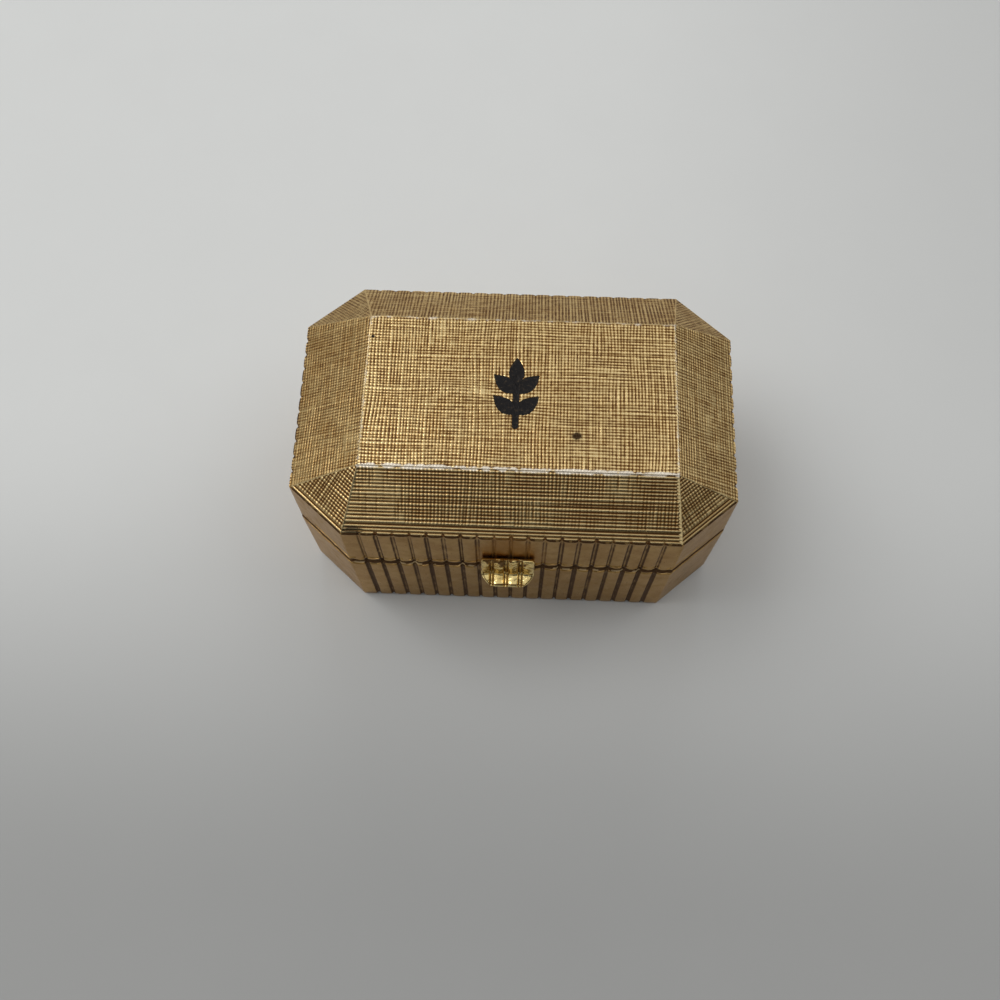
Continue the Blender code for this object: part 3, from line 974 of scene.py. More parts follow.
@dataclass(frozen=True)
class AgedGold:
    """Gold-tone plating with brown film in its hollows and pale metal where it is rubbed.

    Film starts at the hollow value film_start, is full at film_reach and is itself as metallic
    as film_metal. The haze is how strong film gets on open metal. The grain is a height in
    millimetres, and its scale is in features to a millimetre.
    """

    name: str
    light: tuple = (0.60, 0.40, 0.155)
    warm: tuple = (0.46, 0.27, 0.085)
    bright: tuple = (1.0, 0.78, 0.40)
    film: tuple = (0.055, 0.021, 0.004)
    bare: tuple = (0.62, 0.54, 0.42)
    polish: float = 0.0
    film_strength: float = 0.95
    film_start: float = 0.15
    film_reach: float = 0.9
    film_metal: float = 0.88
    edge_tint: tuple = (0.95, 0.88, 0.78)
    haze: float = 0.3
    roughness: float = 0.2
    grain: float = 0.006
    grain_scale: float = 7.0
    stains: tuple = ()

    def material(self) -> bpy.types.Material:
        """Makes the material.

        Colour goes between two golds by coarse noise, to polished gold on the crests, to brown by
        the hollow value and by haze, and to bare metal by the rub value. The bump is fine casting
        grain and scratches.

        Returns:
            The material.
        """
        s = Shading(self.name)
        hollow = s.value("hollow")
        rub = s.value("rub")
        tone = s.noise(0.55, 4.0).step(0.3, 0.7)
        cloud = s.noise(0.9, 6.0, roughness=0.65).step(0.42, 0.72)
        fine = s.noise(self.grain_scale, 5.0)
        scratches = s.noise(2.2, 3.0, (0.35, 6.0, 0.35)).step(0.6, 0.75)
        film = (hollow * (0.75 + 0.5 * fine)).step(self.film_start, self.film_reach) * self.film_strength
        film = film.greater(cloud * self.haze)
        polished = (1.0 - hollow.step(0.03, 0.38)) * self.polish
        colour = s.mix(tone, self.light, self.warm)
        colour = s.mix(polished, colour, self.bright)
        colour = s.mix(film, colour, self.film)
        worn = (rub * (0.4 + 1.1 * fine)).step(0.25, 0.8)
        colour = s.mix(worn, colour, self.bare)
        for stain in self.stains:
            colour = s.mix(s.near(stain), colour, stain.colour)
        rough = self.roughness + film * 0.3 + cloud * 0.1 + (fine - 0.5) * 0.2 + worn * 0.15
        s.bump(fine * 0.8 + scratches * 0.5, self.grain * MM)
        metal = 1.0 - film * (1.0 - self.film_metal)
        return s.surface(Base_Color=colour, Roughness=rough, Metallic=metal, Specular_Tint=self.edge_tint)


@dataclass(frozen=True)
class BlackEnamel:
    """Old black enamel: mottled, matt in patches, with brown dirt on it."""

    name: str = "black_enamel"
    colour: tuple = (0.007, 0.006, 0.006)
    dusty: tuple = (0.06, 0.042, 0.024)

    def material(self) -> bpy.types.Material:
        """Makes the material: dusty in patches by noise, with an orange-peel bump.

        Returns:
            The material.
        """
        s = Shading(self.name)
        dust = s.noise(3.4, 6.0, roughness=0.75).step(0.52, 0.72)
        peel = s.noise(6.0, 3.0)
        colour = s.mix(dust, self.colour, self.dusty)
        s.bump(peel, 0.03 * MM)
        rough = dust * 0.3 + peel * 0.1 + 0.36
        return s.surface(Base_Color=colour, Roughness=rough, Specular_IOR_Level=0.12)


@dataclass(frozen=True)
class PerfumeWax:
    """Pale amber wax with soft clouds and a faint sheen."""

    name: str = "perfume_wax"

    def material(self) -> bpy.types.Material:
        """Makes the material: two ambers by cloud noise, with a fine smeared bump.

        Returns:
            The material.
        """
        s = Shading(self.name)
        cloud = s.noise(0.35, 4.0).step(0.3, 0.7)
        smear = s.noise(1.2, 4.0, (0.5, 1.6, 1.0))
        colour = s.mix(cloud, (0.78, 0.60, 0.33), (0.66, 0.45, 0.20))
        s.bump(smear, 0.05 * MM)
        return s.surface(Base_Color=colour, Roughness=0.38 + smear * 0.2, Subsurface_Weight=0.15)


@dataclass(frozen=True)
class PressedMetal:
    """Pale pressed or drawn metal with fine lines along one direction."""

    name: str
    colour: tuple = (0.64, 0.62, 0.58)
    shade: tuple = (0.42, 0.40, 0.37)
    roughness: float = 0.3

    def material(self) -> bpy.types.Material:
        """Makes the material: two tones by cloud noise, with drawn lines as a bump.

        Returns:
            The material.
        """
        s = Shading(self.name)
        cloud = s.noise(0.7, 5.0).step(0.35, 0.7)
        lines = s.noise(3.0, 3.0, (0.2, 4.0, 4.0))
        colour = s.mix(cloud * 0.7, self.colour, self.shade)
        s.bump(lines, 0.004 * MM)
        return s.surface(Base_Color=colour, Roughness=self.roughness + lines * 0.2, Metallic=1.0)


@dataclass
class Finishes:
    """Every finish of the compact, made once."""

    engraved: bpy.types.Material
    cast: bpy.types.Material
    base_cast: bpy.types.Material
    tab: bpy.types.Material
    lining: bpy.types.Material
    enamel: bpy.types.Material
    wax: bpy.types.Material
    pan: bpy.types.Material
    steel: bpy.types.Material

    @classmethod
    def make(cls) -> "Finishes":
        """Makes the materials.

        Returns:
            The finishes.
        """
        engraved = AgedGold(
            "gold_tone_engraved",
            light=(0.6, 0.408, 0.165),
            warm=(0.46, 0.275, 0.09),
            film=(0.068, 0.021, 0.003),
            film_metal=0.82,
            bare=(0.7, 0.63, 0.52),
            edge_tint=(0.95, 0.87, 0.76),
            polish=0.95,
            film_start=0.1,
            film_reach=0.66,
            haze=0.15,
            stains=(
                Stain((5.15, -3.85, 20.4), (0.46, 0.38, 0.4), (0.045, 0.024, 0.01), 1.0),
                Stain((-12.49, 5.03, 20.4), (0.16, 0.16, 0.2), (0.008, 0.006, 0.005), 1.0, 0.2),
                Stain((-13.2, -11.6, 17.1), (1.0, 0.4, 0.4), (0.02, 0.015, 0.01), 0.85, 1.0),
            ),
        )
        # painted reflection: the warm orange glow of the tab on the skirt's reeds above it
        painted_tab_reflection = Stain((-0.25, -12.0, 12.0), (3.3, 1.5, 6.2), (0.38, 0.185, 0.04), 0.85, 0.6)
        wall = {
            "light": (0.51, 0.323, 0.125),
            "warm": (0.42, 0.245, 0.084),
            "film": (0.1, 0.048, 0.016),
            "edge_tint": (0.86, 0.8, 0.74),
            "bare": (0.6, 0.45, 0.25),
            "film_strength": 1.0,
            "film_metal": 0.55,
            "film_start": 0.1,
            "film_reach": 0.7,
            "haze": 0.12,
            "roughness": 0.3,
            "grain": 0.012,
            "grain_scale": 5.0,
        }
        # the tab's gold is far paler than the case's: partly polish, partly a painted highlight
        tab = AgedGold(
            "gold_tone_tab",
            light=(1.0, 0.83, 0.4),
            warm=(0.98, 0.7, 0.25),
            film=(0.13, 0.052, 0.008),
            haze=0.25,
            roughness=0.12,
            grain=0.02,
            grain_scale=4.0,
        )
        lining = AgedGold(
            "gold_tone_lining",
            light=(0.84, 0.61, 0.29),
            warm=(0.7, 0.46, 0.19),
            film_strength=0.3,
            haze=0.15,
        )
        return cls(
            engraved=engraved.material(),
            cast=AgedGold("gold_tone_cast", stains=(painted_tab_reflection,), **wall).material(),
            base_cast=AgedGold("gold_tone_base", **wall).material(),
            tab=tab.material(),
            lining=lining.material(),
            enamel=BlackEnamel().material(),
            wax=PerfumeWax().material(),
            pan=PressedMetal("pan_metal").material(),
            steel=PressedMetal("hinge_steel", (0.46, 0.42, 0.36), (0.25, 0.2, 0.15)).material(),
        )


def place(made: bpy.types.Object, body: str, slot: str, *nodes: str) -> bpy.types.Object:
    """Lets a piece ride on a body and stand for CAD nodes.

    Args:
        made: The piece.
        body: The body that carries it.
        slot: A material slot's name; not used.
        nodes: The CAD nodes that it stands for.

    Returns:
        The piece.
    """
    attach(made, body)
    if nodes:
        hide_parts(*nodes)
    LOG.info("%s rides on %s: %d faces", made.name, body, len(made.data.polygons))
    return made


@dataclass
class Sprig:
    """The enamel sprig: five pointed leaves on a stem. The leaf's angle from the stem is in degrees."""

    height: float = 6.7 * MM
    stem_width: float = 0.5 * MM
    leaf_length: float = 2.6 * MM
    leaf_width: float = 1.3 * MM
    leaf_angle: float = 48.0
    leaf_spacing: float = 2.0 * MM
    leaf_pairs: int = 2
    recess: float = 0.25 * MM
    sink: float = 0.05 * MM
    dish: float = 0.03 * MM
    floor_gap: float = 0.03 * MM
    roughness: float = 0.018 * MM
    rough_size: float = 0.4 * MM
    edge: float = 0.05 * MM
    pointedness: float = 0.85

    def leaves(self) -> list[tuple[Array, float]]:
        """Places one leaf at the tip and the others in pairs below it.

        Returns:
            Each leaf's base and its lean from +Y in radians.
        """
        tip = self.height / 2 - self.leaf_length
        found = [(np.array([0.0, tip]), 0.0)]
        for pair in range(self.leaf_pairs):
            base = np.array([0.0, tip - (pair + 0.4) * self.leaf_spacing])
            found += [(base, math.radians(sign * self.leaf_angle)) for sign in (1, -1)]
        return found

    def stem_ends(self) -> tuple[float, float]:
        """Where the middles of the stem's round ends lie."""
        low = -self.height / 2 + self.stem_width / 2
        return low, self.height / 2 - self.leaf_length * 2 / 3 - self.stem_width / 2

    def inside(self, x: Array, y: Array) -> Array:
        """About how far each point lies inside the sprig's outline, and less than 0 outside it.

        A leaf's half width at a share t of its length is half its width times the sine of
        pi t^0.85, and the stem is a bar with round ends.

        Args:
            x: The points' x from the sprig's middle.
            y: The points' y from the sprig's middle.

        Returns:
            The distances.
        """
        low, high = self.stem_ends()
        off_stem = np.hypot(x, y - np.clip(y, low, high))
        found = self.stem_width / 2 - off_stem
        for base, lean in self.leaves():
            along = (x - base[0]) * math.sin(lean) + (y - base[1]) * math.cos(lean)
            across = (x - base[0]) * math.cos(lean) - (y - base[1]) * math.sin(lean)
            share = np.clip(along / self.leaf_length, 0.0, 1.0)
            half = self.leaf_width / 2 * np.sin(math.pi * share**self.pointedness)
            past = np.abs(along / self.leaf_length - share) * self.leaf_length
            found = np.maximum(found, half - np.abs(across) - past)
        return found

    def recess_depth(self, x: Array, y: Array) -> Array:
        """Depth of the recess in the panel: a smooth step across the outline."""
        return self.recess * smooth_step(-self.edge * 0.4, self.edge * 0.8, self.inside(x, y))

    def build(self, top: float, finish: bpy.types.Material) -> None:
        """Builds the enamel: lens-shaped leaves and a bar, whose rims lie inside the panel.

        Each is a patch (u, v): along its length by u and across its half width by v, with a
        surface that sinks by the square of v less one, as enamel does when it cools.

        Args:
            top: Height of the panel.
            finish: The enamel's material.
        """
        piece = Piece("enamel_sprig_fill")
        rough = Noise(41)
        low, high = self.stem_ends()
        shapes = [(base, lean, self.leaf_length, None) for base, lean in self.leaves()]
        shapes.append((np.array([0.0, low]), 0.0, high - low, self.stem_width / 2))
        for base, lean, length, radius in shapes:
            u, v = np.meshgrid(np.linspace(0, 1, 36), np.linspace(-1, 1, 17), indexing="ij")
            if radius is None:
                half = self.leaf_width / 2 * np.sin(math.pi * u**self.pointedness) + self.edge
                along = (length + 2 * self.edge) * u - self.edge
            else:
                along = -radius - self.edge + (length + 2 * radius + 2 * self.edge) * u
                beyond = np.maximum(np.abs(along - length / 2) - length / 2, 0.0)
                half = np.sqrt(np.maximum((radius + self.edge) ** 2 - beyond**2, 0.0))
            across = half * v
            x = base[0] + along * math.sin(lean) + across * math.cos(lean)
            y = base[1] + along * math.cos(lean) - across * math.sin(lean)
            uneven = rough.layered(x / self.rough_size, y / self.rough_size)
            dish = self.dish * (1 - v**2) + self.roughness * uneven
            upper = np.stack([x, y, top - self.sink - dish], axis=-1)
            lower = np.stack([x, y, np.full_like(x, top - self.recess + self.floor_gap)], axis=-1)
            skin = Skin()
            for section in np.concatenate([upper, lower[:, ::-1]], axis=1):
                skin.add_ring(section)
            skin.cover(piece)
        place(piece.build(finish), "lid", "black_enamel", "enamel_sprig")


@dataclass
class Lid:
    """The lid casting: panel, bevels, corner facets and reeded skirt.

    The sample is the distance between the grids' points, and the slope length is how much longer
    a slope is than its plan. The bead's height over the seam and its width are in millimetres.
    """

    case: CaseShape
    finishes: Finishes
    sprig: Sprig = field(default_factory=Sprig)
    sample: float = 0.0625 * MM
    slope_length: float = 1.24
    shoulder_round: float = 0.04 * MM
    edge_width: float = 0.05 * MM
    edge_rub: float = 0.09
    foot_clear: float = 0.06 * MM
    ragged_size: tuple = (0.45 * MM, 0.3 * MM)
    plate: float = 0.22 * MM
    draw_in: float = 0.04
    under_plates: float = 0.13 * MM
    channel_width: float = 0.5 * MM
    channel_dark: float = 0.42
    bead: float = 0.05 * MM
    bead_height: float = 0.18
    bead_width: float = 0.08
    seam_swing: float = 0.35 * MM
    seam_lap: float = 0.5 * MM
    rim_ease: float = 0.13 * MM

    def __post_init__(self) -> None:
        """Makes the form and the track that its pieces share."""
        self.roof = Roof(self.case)
        self.track = WallTrack(self.case, self.channel_width, self.channel_dark, seed=3)

    def linen(self, face: int) -> LinenCut:
        """The cut of one face: 0 is the panel and 1 to 8 are the slopes over the eight walls.

        Args:
            face: The face's number.

        Returns:
            The cut, with noise of its own.
        """
        seed = 100 + 10 * face

        def lines(which: int, pitch: float, depth: float, cover: float, run: float,
                  **own: float) -> GraverLines:
            """One run of lines, in millimetres."""
            return GraverLines(pitch * MM, depth * MM, cover, run * MM, seed + 3 * which, **own)

        if face == PANEL:
            level = lines(0, 0.288, 0.036, 0.95, 1.3, wander=0.5, chatter=0.5)
            crossing = lines(1, 0.283, 0.036, 0.95, 1.1, wander=0.5, chatter=0.5)
            return LinenCut(level, crossing, zone=1.7 * MM, zone_seed=12, tarnish=0.85, foot_dark=0.0)
        if face == Wall.FRONT.face:
            level = lines(0, 0.3, 0.09, 0.95, 7, wander=0.2, chatter=0.15)
            crossing = lines(1, 0.3, 0.055, 0.55, 1.4, chatter=0.3)
            own = {"balance": 0.3, "plain_foot": 1.2 * MM, "hem": 4, "foot_dark": 1.0}
        elif face == Wall.BACK.face:
            level = lines(0, 0.3, 0.03, 0.8, 4, chatter=0.5)
            crossing = lines(1, 0.29, 0.03, 0.9, 2, chatter=0.4)
            own = {"balance": -0.2, "tarnish": 0.9, "dull_and_shade": 0.22}
        elif face == Wall.FRONT_RIGHT.face:
            level = lines(0, 0.29, 0.06, 0.9, 5, chatter=0.3)
            crossing = lines(1, 0.29, 0.035, 0.6, 1.6, chatter=0.3)
            own = {"balance": 0.3, "hem": 3, "dull_and_shade": 0.1}
        elif face == Wall.FRONT_LEFT.face:
            level = lines(0, 0.29, 0.06, 0.8, 3, chatter=0.3)
            crossing = lines(1, 0.29, 0.05, 0.7, 1.6, chatter=0.3)
            own = {"balance": 0.05, "tarnish": 0.95, "hem": 2}
        else:
            level = lines(0, 0.28, 0.03, 0.85, 2, wander=0.5, chatter=0.5)
            crossing = lines(1, 0.28, 0.03, 0.85, 1.4, wander=0.5, chatter=0.5)
            # dullness on these faces is partly painted shade, dimming them where lamps glint
            dull_and_shade = 0.15 if face == Wall.RIGHT.face else 0.24
            own = {"zone": 1.7 * MM, "tarnish": 0.78, "dull_and_shade": dull_and_shade}
        return LinenCut(level, crossing, zone_seed=seed, **own)

    def add_plate(self, piece: Piece, x: Array, y: Array, face: int, from_foot: Amount,
                  recess: Amount) -> None:
        """Adds one engraved face as a thin closed plate.

        The surface is the soft roof over (x, y), less the cut's depth along the face's normal.
        The cut fades out at the edges between faces and at the foot, where the metal is rubbed.
        A facet's top row is one point. Below, the plate draws in from its rim to a pole.

        Args:
            piece: The piece to add to.
            x: Grid of x, from the top row to the foot row.
            y: Grid of y.
            face: The face's number.
            from_foot: Distance from the foot row.
            recess: Depth of a recess, straight down.
        """
        normal = self.roof.normal(face)
        if face == PANEL:
            level = np.array([1.0, 0.0, 0.0])
            foot = np.zeros(3)
        else:
            level = np.cross([0.0, 0.0, 1.0], normal)
            foot = np.append(self.case.octagon(0, 0, 0, 0)[face - 1], self.case.shoulder)
        level = level / np.linalg.norm(level)
        uphill = np.cross(normal, level)
        flat = np.stack([x, y, self.roof.height(x, y)], axis=-1)
        cut = self.linen(face)
        up = (flat - foot) @ uphill
        depth = cut.hemmed(cut.depth_at((flat - foot) @ level, up), up)
        clear = self.roof.clear_of_edges(x, y, self.edge_width)
        clear = clear * smooth_step(0.0, self.foot_clear, from_foot)
        ragged = Noise(77).layered(x / self.ragged_size[0], y / self.ragged_size[1])
        depth = depth * clear
        shade = cut.foot_shade(from_foot, ragged)
        rub = self.roof.wear(x, y) * (0.85 + 0.6 * ragged)
        rub = rub + self.edge_rub * (1 - clear) * (1 + ragged) * (1 - shade)
        surface = flat - normal * depth[..., None]
        surface[..., 2] -= recess
        hollow = np.maximum(cut.hollow(depth), shade)
        hollow = np.maximum(hollow, np.minimum(recess / self.sprig.recess, 1.0))
        numbers = piece.add_points(surface, hollow, rub)
        if np.ptp(x[0]) < 1e-6 * MM:
            numbers[0] = numbers[0, 0]
        piece.add_faces(numbers)
        self.close_below(piece, surface, numbers)

    def close_below(self, piece: Piece, surface: Array, numbers: Array) -> None:
        """Closes a plate from its rim, through a lowered rim drawn in a little, to a pole.

        Args:
            piece: The piece to add to.
            surface: Grid of the plate's points.
            numbers: Their numbers.
        """
        def rim_of(grid: Array) -> Array:
            """The grid's outermost entries, once round."""
            return np.concatenate([grid[0, :-1], grid[:-1, -1], grid[-1, :0:-1], grid[:0:-1, 0]])

        rim = rim_of(surface)
        middle = surface.reshape(-1, 3).mean(0)
        drawn_in = rim + (middle - rim) * self.draw_in - [0, 0, self.plate]
        pole = np.tile(middle - [0, 0, self.plate], (len(rim), 1))
        below = piece.add_points(np.stack([drawn_in, pole]), 0.3)
        below[1] = below[1, 0]
        piece.add_faces(np.concatenate([rim_of(numbers)[None], below]), smooth=False, wrap=True)

    def build_panel(self) -> None:
        """Builds the flat panel with the sprig's recess: a grid between its four corners."""
        low, high = self.case.panel_corners()[0], self.case.panel_corners()[2]
        columns = round((high[0] - low[0]) / self.sample)
        rows = round((high[1] - low[1]) / self.sample)
        down = np.linspace(high[1], low[1], rows)
        y, x = np.meshgrid(down, np.linspace(low[0], high[0], columns), indexing="ij")
        piece = Piece("lid_panel")
        self.add_plate(piece, x, y, PANEL, self.case.depth, self.sprig.recess_depth(x, y))
        place(piece.build(self.finishes.engraved), "lid", "gold_tone_case", "lid_shell")

    def build_slope(self, wall: Wall) -> None:
        """Builds one bevel or corner facet: a grid from the panel's edge or corner to the wall.

        Args:
            wall: The wall below it.
        """
        i = wall.value
        panel = self.case.panel_corners()
        top = np.array([panel[(i + 1) // 2 % 4], panel[(i + 2) // 2 % 4]])
        corners = self.case.octagon(*[self.shoulder_round] * 4)
        foot = np.array([corners[i], corners[(i + 1) % SIDES]])
        run = np.linalg.norm(foot[1] - foot[0])
        fall = np.linalg.norm(foot.mean(0) - top.mean(0)) * self.slope_length
        columns = round(run / self.sample)
        rows = round(fall / self.sample)
        share = np.linspace(0, 1, columns)[None, :, None]
        down = np.linspace(0, 1, rows)[:, None, None]
        upper = top[0] + (top[1] - top[0]) * share
        lower = foot[0] + (foot[1] - foot[0]) * share
        chosen = self.track.wall == i
        nominal = np.append(self.track.share[chosen], 1.0)
        reeding = np.append(self.track.reed_depth[chosen], 0.0)
        lower = lower + self.track.inward[chosen][0] * np.interp(share, nominal, reeding)
        grid = upper + (lower - upper) * down
        from_foot = (1 - down[..., 0]) * fall
        kind = "facet" if wall.is_chamfer else "bevel"
        piece = Piece(f"lid_{kind}_{wall.name.lower()}")
        self.add_plate(piece, grid[..., 0], grid[..., 1], wall.face, from_foot, 0.0)
        place(piece.build(self.finishes.engraved), "lid", "gold_tone_case")

    def on_panel(self) -> Array:
        """The track laid on the panel's outline.

        Returns:
            One (x, y) row to a column.
        """
        panel, track = self.case.panel_corners(), self.track
        start, end = panel[(track.wall + 1) // 2 % 4], panel[(track.wall + 2) // 2 % 4]
        return start * (1 - track.share[:, None]) + end * track.share[:, None]

    def add_shoulder(self, skin: Skin) -> Array:
        """Adds the top under the engraved faces and the round shoulder, a quarter turn.

        Args:
            skin: The skin to add to.

        Returns:
            The height at which the wall starts, at each column.
        """
        track = self.track
        crest = track.inset(self.shoulder_round)
        middle = self.on_panel()
        for share in (0.0, 0.45, 0.9):
            flat = middle * (1 - share) + crest * share
            skin.add(flat, self.roof.height(flat[:, 0], flat[:, 1]) - self.under_plates)
        crest_z = self.roof.height(crest[:, 0], crest[:, 1])
        wall = track.inset(0.0)
        wall_z = self.roof.height(wall[:, 0], wall[:, 1]) - self.shoulder_round * 0.8
        worn = track.spots(14, 0.3)
        for turn in (0, 30, 60, 90):
            angle = math.radians(turn)
            out, fall = math.sin(angle), 1 - math.cos(angle)
            z = crest_z + (wall_z - crest_z) * fall
            # painted shade on the shoulder's round, broken by bright spots that are partly wear and partly
            # a painted highlight
            hollow = (1.0 - 0.8 * worn) * (1 - out**3)
            skin.add(crest + (wall + track.inward * self.bead - crest) * out, z, hollow, 0.4 * worn)
        return wall_z

    def add_wall(self, skin: Skin, wall_z: Array) -> None:
        """Adds the reeded wall and a wavy seam's bead, rubbed in spots that are partly painted highlight,
        over painted shade.

        The bead swells by e to minus the square of the height from its middle over its width.

        Args:
            skin: The skin to add to.
            wall_z: The height at which the wall starts, at each column.
        """
        track = self.track
        wall = track.inset(0.0)
        rim_z = self.case.lid_rim_at(wall[:, 0], wall[:, 1])
        upper_z = rim_z + self.seam_lap
        for share in np.linspace(0, 1, 12)[1:]:
            z = wall_z + (upper_z - wall_z) * share
            skin.add(wall + track.inward * self.bead + track.dents(z, 6), z, track.film_at(z, 17))
        lift = track.seam_rise() * self.seam_swing
        worn = track.spots(15, 0.1)
        for height in (0.4, 0.32, 0.26, 0.2, 0.15, 0.1):
            swell = math.exp(-(((height - self.bead_height) / self.bead_width) ** 2))
            # bright spots: partly wear, partly a painted highlight along the seam
            bright = swell * 0.6 * worn * track.reeded
            swell = (swell * (0.2 + 0.8 * worn) * (0.2 + 0.8 * track.reeded))[:, None]
            # painted shade: the bead's lowest rows darken, as in the seam's gap
            dark = smooth_step(0.24, 0.12, height) * (1 - 0.6 * worn)
            flat = wall + track.inward * self.bead * (1 - swell)
            skin.add(flat, rim_z + height * MM + lift, np.maximum(track.film_at(rim_z, 17), dark), bright)
        # painted shade on the rim's outer edge, in the seam's gap
        skin.add(track.inset(0.08 * MM), rim_z + 0.04 * MM + lift, 1.0)

    def add_hollow(self, skin: Skin) -> None:
        """Adds the rim's face, the inner wall and the ceiling.

        A share of the way over the ceiling that is more than 1 goes on from the panel's outline
        towards the lid's middle.

        Args:
            skin: The skin to add to.
        """
        case, track = self.case, self.track
        inner = track.ring(case.inner_octagon(0), 0.0)
        eased = track.inset(self.rim_ease)
        for share in np.linspace(0, 1, 25):
            flat = eased + (inner - eased) * share
            # painted shade: the rim's face darkens towards its outer edge, in the seam's gap
            skin.add(flat, case.lid_rim_at(flat[:, 0], flat[:, 1]), max(0.2, 1.2 - 3 * share))
        ceiling = self.roof.height(inner[:, 0], inner[:, 1]) - case.crown_thickness
        rim = case.lid_rim_at(inner[:, 0], inner[:, 1])
        for share in (0.02, 0.3, 0.7, 0.98, 1.0):
            skin.add(inner, rim + (ceiling - rim) * share, 0.3)
        middle = self.on_panel()
        for share in (*np.linspace(0.02, 1.0, 15), 1.03, 1.5):
            flat = inner + (middle - inner) * min(share, 1.0)
            flat = flat * (2.0 - max(share, 1.0))
            skin.add(flat, self.roof.height(flat[:, 0], flat[:, 1]) - case.crown_thickness, 0.2)

    def build_skirt(self) -> None:
        """Builds the casting under the engraved faces: shoulder, reeded skirt, rim and hollow.

        It is one loft round the track, from a pole under the panel, out to the shoulder, down
        the wall, in along the rim, up the inner wall and over the ceiling to a second pole.
        """
        skin = Skin()
        wall_z = self.add_shoulder(skin)
        self.add_wall(skin, wall_z)
        self.add_hollow(skin)
        piece = Piece("lid_skirt")
        skin.cover(piece)
        place(piece.build(self.finishes.cast), "lid", "gold_tone_case", "lid_shell")

    def build(self) -> None:
        """Builds the whole lid."""
        self.build_skirt()
        self.build_panel()
        for wall in Wall:
            self.build_slope(wall)
        self.sprig.build(self.case.top, self.finishes.enamel)


@dataclass
class Base:
    """The base casting: reeded wall on an eased foot, rim, ledge and well.

    The lip's rows are its inset and its height over the rim in millimetres, and its hollow value, which
    paints the seam's shade.
    """

    case: CaseShape
    finishes: Finishes
    channel_width: float = 0.5 * MM
    channel_dark: float = 0.75
    ledge_width: float = 0.9 * MM
    ledge_depth: float = 2.6 * MM
    draft: float = 0.16 * MM
    top_ease: float = 0.1 * MM
    seam_swing: float = 0.25 * MM
    lip: tuple = (
        (0.02, -0.2, 1.0),
        (0.02, -0.12, 0.7),
        (0.0, -0.06, 0.0),
        (0.0, 0.0, 0.0),
        (0.03, 0.04, 0.0),
    )
    rim_ease: float = 0.17 * MM

    def add_wall(self, skin: Skin, track: WallTrack) -> None:
        """Adds the underside, the eased foot and the drafted wall up to its wavy lip, in painted shade with
        bright spots, partly painted highlight.

        Args:
            skin: The skin to add to.
            track: The columns round the wall.
        """
        case = self.case
        foot = track.inset(case.foot_ease + self.draft)
        for share in (0.25, 0.6, 0.9, 1.0):
            skin.add(foot * share, 0.0)
        for turn in (18, 36, 54, 72, 90):
            angle = math.radians(turn)
            inset = case.foot_ease * (1 - math.sin(angle)) + self.draft
            skin.add(track.inset(inset), case.foot_ease * (1 - math.cos(angle)), track.film)
        wall = track.inset(0.0)
        top_z = case.base_rim_at(wall[:, 0], wall[:, 1])
        rim_z = top_z - self.top_ease - track.seam_fall() * self.seam_swing
        for share in np.linspace(0, 1, 15)[1:]:
            z = case.foot_ease + (rim_z - case.foot_ease) * share
            skin.add(track.inset(self.draft * (1 - share)) + track.dents(z, 10), z, track.film_at(z, 18))
        worn = track.spots(16, -0.15)
        for inset, rise, hollow in self.lip:
            # bright spots: partly wear, partly a painted highlight on the lip; the rest of the lip gets
            # painted shade
            bright = (1 - hollow) * worn * (0.15 + 0.85 * track.reeded)
            film = np.maximum(hollow, 0.75 * (1 - bright))
            skin.add(track.inset(inset * MM), rim_z + rise * MM, film, bright)
        # painted shade on the rim's outer edge, in the seam's gap
        skin.add(track.inset(0.12 * MM), (rim_z + 0.04 * MM + top_z) / 2, 0.8)

    def add_well(self, skin: Skin, track: WallTrack) -> None:
        """Adds the rim's face, the ledge and the well.

        Args:
            skin: The skin to add to.
            track: The columns round the wall.
        """
        case = self.case
        eased = track.inset(self.rim_ease)
        inner = track.ring(case.inner_octagon(0), 0.0)
        for share in np.linspace(0, 1, 25):
            flat = eased + (inner - eased) * share
            # painted shade: the rim's face darkens towards its outer edge, in the seam's gap
            skin.add(flat, case.base_rim_at(flat[:, 0], flat[:, 1]), max(0.1, 1.3 - 4 * share))
        ledge_z = case.base_height - self.ledge_depth
        well = track.ring(case.inner_octagon(self.ledge_width), 0.0)
        skin.add(inner, ledge_z, 0.3)
        skin.add(well, ledge_z, 0.3)
        skin.add(well, case.floor, 0.3)
        skin.add(well * 0.6, case.floor, 0.2)

    def build(self) -> None:
        """Builds the casting as one loft, from a pole underneath to a pole on the well's floor."""
        skin = Skin()
        track = WallTrack(self.case, self.channel_width, self.channel_dark, seed=8)
        self.add_wall(skin, track)
        self.add_well(skin, track)
        piece = Piece("base_casting")
        skin.cover(piece)
        place(piece.build(self.finishes.base_cast), "base", "gold_tone_case", "base_shell")


